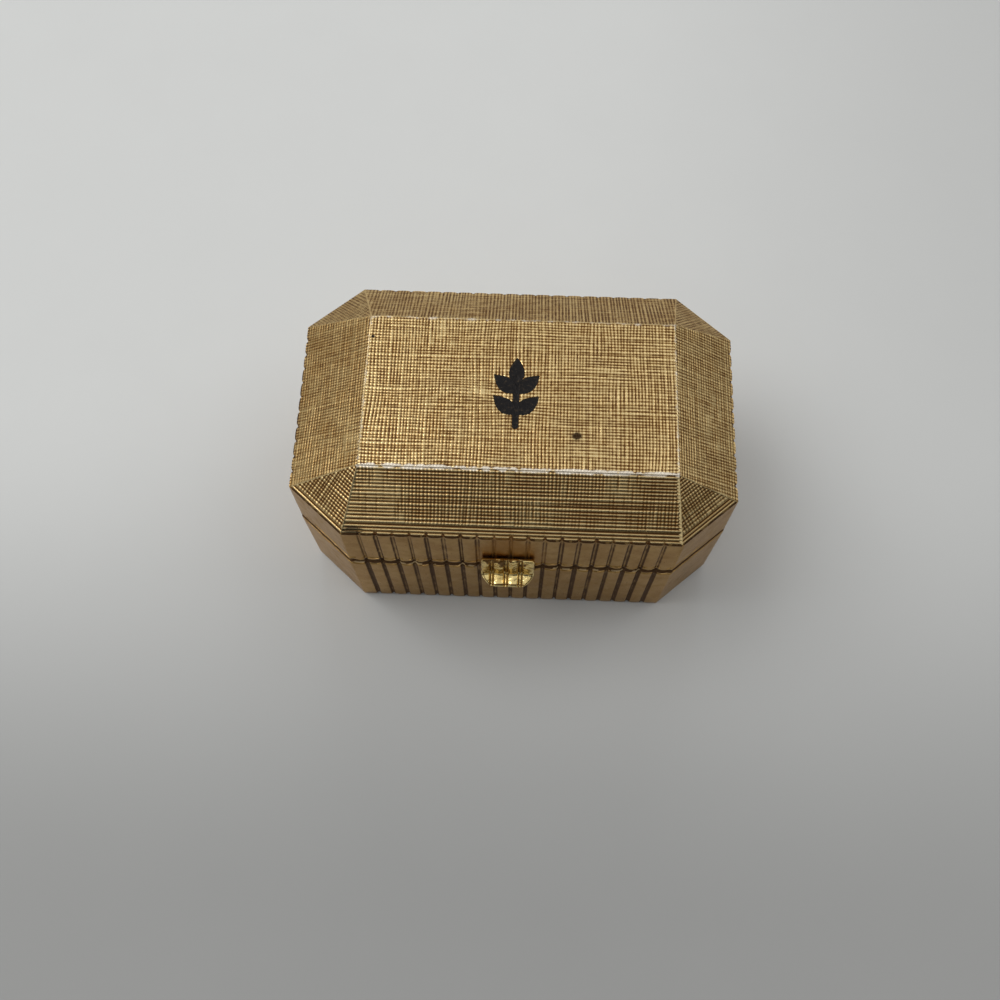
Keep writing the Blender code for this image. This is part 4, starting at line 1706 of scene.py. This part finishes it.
@dataclass
class ThumbTab:
    """The tongue on the lid's front, bent out to a lip, ribbed and crinkled, its pale gold partly polish
    and partly a painted highlight.

    Its bend is in degrees, and so is the crease, the turn from the nearer flat up to which the
    front of the bend is pressed in.
    """

    case: CaseShape
    finishes: Finishes
    root: float = 2.2 * MM
    bend: float = 70.0
    bend_radius: float = 1.5 * MM
    lip: float = 0.2 * MM
    corner: float = 1.3 * MM
    top_corner: float = 0.26 * MM
    thickness: float = 0.5 * MM
    channel_pitch: float = 1.27 * MM
    channel_shift: float = -0.15 * MM
    channel: float = 0.5 * MM
    channel_depth: float = 0.2 * MM
    edge: float = 0.2 * MM
    rib_crown: float = 0.13 * MM
    crinkle: float = 0.13 * MM
    crease: float = 31.0
    press: float = 1.15
    grid: int = 150

    @property
    def straight(self) -> float:
        """Length of the back face from the tab's top down to the base's rim, where it turns."""
        return self.root + self.case.lid_rim - self.case.base_height

    def back_face(self, run: Array) -> tuple[Array, Array, Array]:
        """The back face at each distance from the tab's top.

        It goes straight down to the base's rim, turns about a circle and ends in a straight lip.

        Args:
            run: Distances along the face.

        Returns:
            Its y, its z and its turn outwards in radians.
        """
        turn = math.radians(self.bend)
        angle = np.clip((run - self.straight) / self.bend_radius, 0.0, turn)
        past = np.maximum(run - self.straight - self.bend_radius * turn, 0.0)
        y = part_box("thumb_tab")[1].y - self.bend_radius * (1 - np.cos(angle)) - past * math.sin(turn)
        z = self.case.lid_rim + self.root - np.minimum(run, self.straight)
        return y, z - self.bend_radius * np.sin(angle) - past * math.cos(turn), angle

    def from_channel(self, x: Array) -> Array:
        """Distance from the middle of the nearest of the three channels."""
        across = x - self.channel_shift
        return np.abs(across - np.clip(np.rint(across / self.channel_pitch), -1, 1) * self.channel_pitch)

    def channels(self, x: Array) -> Array:
        """Share of a channel's depth: each channel is a trough with a thin ridge along its middle."""
        away = self.from_channel(x) / (self.channel / 2)
        return 1 - smooth_step(0.55, 1.0, away) - 0.75 * (1 - smooth_step(0.0, 0.5, away))

    def half_width(self, full: float, down: Array, fall: float) -> Array:
        """Half the tab's width, less what its four round corners take.

        A corner takes its radius less the root of the radius squared less the distance squared.

        Args:
            full: The half width between the corners.
            down: Distance down the tab.
            fall: The tab's whole length on the same line.

        Returns:
            The half width at each point.
        """
        low_bite = np.maximum(self.corner - (fall - down), 0.0)
        high_bite = np.maximum(self.top_corner - down, 0.0)
        width = full - self.corner + np.sqrt(np.maximum(self.corner**2 - low_bite**2, 0.0))
        return width - self.top_corner + np.sqrt(np.maximum(self.top_corner**2 - high_bite**2, 0.0))

    def front_relief(self, x: Array, down: Array, upper: Array, turned: Array) -> Array:
        """How far the front is pressed in by channels, crowned ribs, wrinkles and the bend.

        The bend is pressed in towards the corner where its two flats would meet: by the press
        times the inner radius times one over the cosine of the turn from the nearer flat, less one.

        Args:
            x: The points' x from the tab's middle.
            down: Distance down the tab.
            upper: 1 on the upper part and 0 on the lower, where the wrinkles are weaker.
            turned: The tab's turn outwards in radians.

        Returns:
            The depths.
        """
        falls = np.clip(1 - self.from_channel(x) / (self.channel_pitch / 2), 0, 1) ** 2
        wrinkles = (0.35 + 0.4 * upper) * Noise(21).layered(x / (0.4 * MM), down / (0.4 * MM))
        wrinkles = wrinkles + 0.6 * Noise(22).layered(x / (1.1 * MM), down / (1.0 * MM))
        relief = self.channels(x) * self.channel_depth + falls * self.rib_crown
        relief = relief + (wrinkles + 1) / 2 * self.crinkle
        from_flat = np.minimum(turned, math.radians(self.bend) - turned)
        from_flat = np.minimum(from_flat, math.radians(self.crease))
        inner_radius = self.bend_radius - self.thickness
        return relief + inner_radius * (1 / np.cos(from_flat) - 1) * self.press

    def front_hollow_and_shade(self, x: Array, down: Array, upper: Array, inside: Array, low_end: Array) -> Array:
        """How hollow the front is: its channels, a dark line inside the lip, and painted shade as brown
        blotches on the upper part.

        Args:
            x: The points' x from the tab's middle.
            down: Distance down the tab.
            upper: 1 on the upper part, which gets the painted shade, and 0 on the lower.
            inside: Distance from the tab's outline.
            low_end: 1 near the lip and 0 above.

        Returns:
            From 0 on the surface to 1 in the deepest cut.
        """
        dark_lip_line = np.exp(-(((inside - 0.17 * MM) / (0.06 * MM)) ** 2)) * low_end
        # painted shade: brown blotches darken the upper part, which faces forwards
        blotches = Noise(23).layered(x / (0.5 * MM), down / (0.6 * MM))
        blotches = 0.9 * upper * smooth_step(-0.2, 0.45, blotches)
        return np.maximum(np.maximum(0.8 * self.channels(x), dark_lip_line), blotches)

    def build(self) -> None:
        """Builds the tab: a front and a back patch that meet in a rounded edge.

        Distance down the tab is measured on a line that leans by half the bend. Each side stands
        off from the middle surface by half the thickness times a quarter ellipse of the distance
        to the edge.
        """
        low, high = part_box("thumb_tab")
        lean = math.radians(self.bend / 2)
        run = np.linspace(-1.0 * MM, 6.0 * MM, 700)
        y, z, angle = self.back_face(run)
        top_y, top_z, _ = self.back_face(np.zeros(1))
        fall_at = (top_y - y) * math.sin(lean) + (top_z - z) * math.cos(lean)
        tip = self.straight + self.bend_radius * math.radians(self.bend) + self.lip
        fall = float(np.interp(tip, run, fall_at))
        mid_y = y - np.cos(angle) * self.thickness / 2
        mid_z = z + np.sin(angle) * self.thickness / 2
        mid_fall = (top_y - mid_y) * math.sin(lean) + (top_z - mid_z) * math.cos(lean)
        across = np.sin(np.linspace(-1, 1, self.grid) * math.pi / 2)
        down, u = np.meshgrid((across * 0.5 + 0.5) * fall, across, indexing="ij")
        width = self.half_width((high.x - low.x) / 2, down, fall)
        x = u * width
        inside = np.minimum(np.minimum(width - np.abs(x), down), fall - down)
        round_off = np.sqrt(np.maximum(1 - np.clip(1 - inside / self.edge, 0, 1) ** 2, 0.0))
        mid_y, mid_z, turned = (np.interp(down, mid_fall, values) for values in (mid_y, mid_z, angle))
        upper = 1 - smooth_step(0.35, 0.6, down / fall)
        low_end = smooth_step(0.45, 0.7, down / fall)
        half = self.thickness / 2
        front = half - self.front_relief(x, down, upper, turned)
        front_hollow_and_shade = self.front_hollow_and_shade(x, down, upper, inside, low_end)
        piece = Piece("thumb_tab_reeded")
        grids = []
        for stand_off, hollow in ((front, front_hollow_and_shade), (-half, 0.4)):
            out = stand_off * round_off
            x_at = x + (high.x + low.x) / 2
            side = np.stack([x_at, mid_y - np.cos(turned) * out, mid_z + np.sin(turned) * out], axis=-1)
            grids.append(piece.add_points(side, hollow))
        front, behind = grids
        for edge in ((0, slice(None)), (-1, slice(None)), (slice(None), 0), (slice(None), -1)):
            behind[edge] = front[edge]
        piece.add_faces(front)
        piece.add_faces(behind[:, ::-1])
        place(piece.build(self.finishes.tab), "lid", "gold_tone_tab", "thumb_tab")


def rounded(corners: Array, radius: float, points: int = 6) -> Array:
    """An outline with round corners, each a quadratic curve between its two tangent points.

    The curve at t is the start times (1 - t)^2, the corner times 2 t (1 - t) and the end times
    t^2, added together.

    Args:
        corners: The sharp corners, counter-clockwise.
        radius: Distance from a corner to its tangent points.
        points: Points to a corner, and again between two corners.

    Returns:
        The outline's (x, y) points.
    """
    ahead = np.roll(corners, -1, axis=0) - corners
    ahead = ahead / np.linalg.norm(ahead, axis=1, keepdims=True)
    behind = np.roll(ahead, 1, axis=0)
    t = np.linspace(0, 1, points)[None, :, None]
    start = (corners - behind * radius)[:, None]
    end = (corners + ahead * radius)[:, None]
    bends = start * (1 - t) ** 2 + corners[:, None] * 2 * t * (1 - t) + end * t**2
    s = np.linspace(0, 1, points + 2)[None, 1:-1, None]
    runs = end * (1 - s) + np.roll(start, -1, axis=0) * s
    return np.concatenate([bends, runs], axis=1).reshape(-1, 2)


@dataclass
class Lining:
    """What lies in the base: collar, catch bead, pan and cake."""

    case: CaseShape
    finishes: Finishes
    collar_clearance: float = 0.15 * MM
    collar_thickness: float = 0.8 * MM
    collar_edge: float = 0.22 * MM
    pan_wall: float = 0.4 * MM
    pan_edge: float = 0.18 * MM
    cup_inset: float = 1.05 * MM
    corner: float = 0.5 * MM
    cake_gap: float = 0.04 * MM
    crown: float = 0.1 * MM
    strokes: float = 0.05 * MM
    meniscus: float = 0.12 * MM
    sunk: float = 0.2 * MM

    def ring(self, inset: float, z: float) -> Array:
        """A ring at one height on the inner outline drawn in by an inset, with round corners."""
        flat = rounded(self.case.inner_octagon(inset), self.corner)
        return np.column_stack([flat, np.full(len(flat), z)])

    def turned_edge(self, inset: float, z: float, width: float, radius: float) -> list[Array]:
        """Rings over a wall's top edge, rounded by a quarter circle on each side.

        Args:
            inset: The wall's outer side.
            z: The top's height.
            width: The wall's thickness.
            radius: The quarter circles' radius.

        Returns:
            The rings, from the outer side to the inner one.
        """
        rings = []
        for side, sign in ((inset, 1), (inset + width, -1)):
            for turn in np.linspace(0, 90, 5)[::sign]:
                angle = math.radians(turn)
                in_by, down = radius * (1 - math.cos(angle)), radius * (1 - math.sin(angle))
                rings.append(self.ring(side + sign * in_by, z - down))
        return rings

    def build_collar(self) -> None:
        """Builds the collar: a closed loft with a rounded top edge."""
        low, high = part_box("inner_collar")
        inset, width = self.collar_clearance, self.collar_thickness
        rings = [self.ring(inset, low.z), self.ring(inset, (low.z + high.z) / 2)]
        rings += self.turned_edge(inset, high.z, width, self.collar_edge)
        rings += [self.ring(inset + width, (low.z + high.z) / 2), self.ring(inset + width, low.z)]
        piece = skinned("inner_collar_ring", rings, closed=True)
        place(piece.build(self.finishes.lining), "base", "gold_tone_lining", "inner_collar")

    def build_pan(self) -> None:
        """Builds the pan: a cup hung by its brim, with a rolled lip."""
        low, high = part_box("perfume_pan")
        wall, cup, brim = self.pan_wall, self.cup_inset, self.collar_clearance
        under = high.z - wall
        rings = [self.ring(cup + 1.2 * wall, low.z), self.ring(cup + 0.3 * wall, low.z + 0.35 * wall)]
        rings += [self.ring(cup, low.z + 1.2 * wall), self.ring(cup, under), self.ring(brim, under)]
        rings += self.turned_edge(brim, high.z, cup + wall - brim, self.pan_edge)
        rings += [self.ring(cup + wall, low.z + 2 * wall), self.ring(cup + 2 * wall, low.z + wall)]
        piece = skinned("perfume_pan_cup", rings)
        place(piece.build(self.finishes.pan), "base", "pan_metal", "perfume_pan")

    def build_cake(self) -> None:
        """Builds the wax: a crowned top whose height adds finger strokes and a raised rim.

        The top is the crown, 1 less the fourth power of the share of the way out, plus smooth
        noise drawn out along X, and it climbs a little where the wax wets the pan.
        """
        low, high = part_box("perfume_cake")
        outline = self.ring(self.cup_inset + self.pan_wall + self.cake_gap, 0.0)[:, :2]
        rings = [np.column_stack([outline * 0.98, np.full(len(outline), low.z)])]
        rings.append(np.column_stack([outline, np.full(len(outline), low.z + 0.3 * MM)]))
        noise = Noise(63)
        for share in [1.0, 0.995, 0.985, 0.97, *np.linspace(0.94, 0.04, 30)]:
            flat = outline * share
            wave = noise.layered(flat[:, 0] / (3.4 * MM), flat[:, 1] / (1.5 * MM))
            height = self.crown * (1 - share**4) + self.strokes * wave * (1 - share**8)
            climb = self.meniscus * math.exp(-((1 - share) / 0.012))
            rings.append(np.column_stack([flat, high.z - self.sunk + height + climb]))
        piece = skinned("perfume_wax_cake", rings)
        place(piece.build(self.finishes.wax), "base", "perfume_wax", "perfume_cake")

    def build(self) -> None:
        """Builds the lining. The catch bead keeps its solid and takes the lining's finish."""
        self.build_collar()
        self.build_pan()
        self.build_cake()
        dress("catch_bead", self.finishes.lining)


def dress(node: str, finish: bpy.types.Material) -> None:
    """Gives a CAD node a finish and a slot, with its mesh left as it is.

    Args:
        node: The node's name.
        finish: The material.
    """
    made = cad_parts[node]
    made.data.materials.clear()
    made.data.materials.append(finish)
    LOG.info("%s keeps its solid", node)


@dataclass
class Hinge:
    """Five knuckles in the back wall's cove, and the pin through them."""

    finishes: Finishes
    base_knuckles: tuple = ("left", "middle", "right")
    lid_knuckles: tuple = ("left", "right")
    segments: int = 40
    pin_radius: float = 0.4 * MM
    bore: float = 0.48 * MM
    round_off: float = 0.09 * MM
    head: float = 0.3 * MM

    def turned(self, y: float, z: float, stations: list[tuple[float, float]]) -> list[Array]:
        """Rings of points about a line along X.

        Args:
            y: The line's y.
            z: The line's z.
            stations: Each ring's x and radius.

        Returns:
            The rings.
        """
        angle = np.arange(self.segments) * math.tau / self.segments
        circle = np.column_stack([np.zeros(self.segments), np.cos(angle), np.sin(angle)])
        return [circle * [0, radius, radius] + [x, y, z] for x, radius in stations]

    def build_knuckle(self, body: str, place_name: str) -> None:
        """Builds one knuckle: a bored tube with eased ends.

        Args:
            body: The body that it is soldered to.
            place_name: Where along the hinge it is, as in its node's name.
        """
        node = f"{body}_knuckle_{place_name}"
        low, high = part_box(node)
        radius = (high.z - low.z) / 2
        turns = [math.radians(t) for t in (0, 30, 60, 90)]
        in_by = [self.round_off * (1 - math.sin(a)) for a in turns]
        radii = [radius - self.round_off * (1 - math.cos(a)) for a in turns]
        stations = [(low.x, self.bore)] + [(low.x + x, r) for x, r in zip(in_by[::-1], radii[::-1])]
        stations += [(high.x - x, r) for x, r in zip(in_by, radii)] + [(high.x, self.bore)]
        rings = self.turned((low.y + high.y) / 2, (low.z + high.z) / 2, stations)
        piece = skinned(f"{node}_tube", rings, 0.3, closed=True)
        place(piece.build(self.finishes.lining), body, "gold_tone_hinge", node)

    def build_pin(self) -> None:
        """Builds the pin, whose peened heads are quarter circles stretched along it."""
        low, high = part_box("hinge_pin")
        radius = (high.z - low.z) / 2
        turns = [math.radians(t) for t in (8, 25, 45, 65, 84)]
        right = [(high.x - self.head, self.pin_radius)]
        right += [(high.x - self.head * (1 - math.sin(a)), radius * math.cos(a)) for a in turns]
        stations = [(low.x + high.x - x, r) for x, r in reversed(right)] + right
        rings = self.turned((low.y + high.y) / 2, (low.z + high.z) / 2, stations)
        piece = skinned("hinge_pin_peened", rings)
        place(piece.build(self.finishes.steel), "base", "hinge_steel", "hinge_pin")

    def build(self) -> None:
        """Builds the knuckles and the pin."""
        for place_name in self.base_knuckles:
            self.build_knuckle("base", place_name)
        for place_name in self.lid_knuckles:
            self.build_knuckle("lid", place_name)
        self.build_pin()


@dataclass(frozen=True)
class SoftLamp:
    """A square lamp that faces the object."""

    name: str
    place: tuple
    size: float
    power: float

    def build(self) -> None:
        """Builds the lamp."""
        lamp = bpy.data.lights.new(self.name, "AREA")
        lamp.shape = "SQUARE"
        lamp.size = self.size
        lamp.energy = self.power
        made = bpy.data.objects.new(self.name, lamp)
        made.location = self.place
        made.rotation_euler = (-Vector(self.place)).to_track_quat("-Z", "Y").to_euler()
        bpy.context.scene.collection.objects.link(made)


@dataclass
class Studio:
    """Pale floor, soft lamps and the camera.

    The camera's turn is in degrees, and its lens and sensor are in millimetres.
    """

    camera_at: tuple = (0.535 * MM, -42.726 * MM, 101.426 * MM)
    camera_turn: tuple = (22.145, 0.192, 2.181)
    lens: float = 39.04
    sensor: float = 36.0
    floor_half: float = 1.5
    # colour of the floor's painted shade at the front
    floor_painted_shade: tuple = (0.30, 0.30, 0.292)
    floor_pale: tuple = (0.615, 0.62, 0.605)
    floor_mottle: tuple = (0.4, 0.4, 0.39)
    lamps: tuple = (
        SoftLamp("left", (-0.36, 0.08, 0.50), 0.42, 1.8),
        SoftLamp("right", (0.38, 0.14, 0.42), 0.45, 0.58),
        SoftLamp("back", (0.0, 0.55, 0.28), 0.4, 0.6),
    )
    dark_toward: tuple = (0.37, -0.86, 0.35)
    sky_colour: tuple = (0.98, 0.99, 1.0)

    def build_floor(self) -> None:
        """Builds the floor: a gently mottled pale sheet, with painted shade that darkens it towards the
        front and the right.
        """
        piece = Piece("floor")
        ends = [-self.floor_half, self.floor_half]
        y, x = np.meshgrid(ends, ends, indexing="ij")
        numbers = piece.add_points(np.stack([x, y, np.zeros_like(x)], axis=-1))
        piece.add_faces(numbers, smooth=False)
        s = Shading("pale_floor")
        mottle = s.noise(0.12, 4.0)
        x, y, _ = s.split(s.place)
        # painted shade: the floor darkens towards the front and the right, where the light falls off
        paler = y.step(-42.0, 8.0) * (1.0 - x.step(0.0, 70.0) * 0.36)
        colour = s.mix(paler, self.floor_painted_shade, self.floor_pale)
        colour = s.mix((mottle - 0.5) * 0.1 + 0.05, colour, self.floor_mottle)
        floor = piece.build(s.surface(Base_Color=colour, Roughness=0.75))

    def build_sky(self) -> None:
        """Builds the sky: paler overhead, and dark over the front, where the viewer stands."""
        world = bpy.data.worlds.new("studio")
        bpy.context.scene.world = world
        world.use_nodes = True
        sky = Nodes(world.node_tree)
        toward = sky.node("ShaderNodeTexCoord", {}, {}, "Generated")
        blocked = sky.vector("DOT_PRODUCT", toward, self.dark_toward, "Value").step(0.72, 0.86)
        x, _, z = sky.split(toward)
        level = (z.step(0.3, 0.95) * 0.3 + 0.34 - x * 0.03) * (1.0 - blocked * 0.84)
        backdrop = world.node_tree.nodes["Background"]
        sky.feed(backdrop.inputs["Color"], self.sky_colour)
        sky.feed(backdrop.inputs["Strength"], level)

    def build_camera(self) -> None:
        """Builds the camera over the front, as the photograph's."""
        data = bpy.data.cameras.new("camera")
        data.lens = self.lens
        data.sensor_width = self.sensor
        data.clip_start = 0.005
        camera = bpy.data.objects.new("camera", data)
        camera.location = self.camera_at
        camera.rotation_euler = [math.radians(a) for a in self.camera_turn]
        bpy.context.scene.collection.objects.link(camera)
        bpy.context.scene.camera = camera

    def build(self) -> None:
        """Builds the studio and sets the plain view transform."""
        self.build_floor()
        for lamp in self.lamps:
            lamp.build()
        self.build_sky()
        self.build_camera()
        bpy.context.scene.view_settings.view_transform = "Standard"


def main() -> None:
    """Builds the compact and its studio."""
    logging.basicConfig(level=logging.INFO, format="%(message)s")
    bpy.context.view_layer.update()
    case = CaseShape()
    finishes = Finishes.make()
    Lid(case, finishes).build()
    Base(case, finishes).build()
    ThumbTab(case, finishes).build()
    Lining(case, finishes).build()
    Hinge(finishes).build()
    Studio().build()


if __name__ == "__main__":
    main()
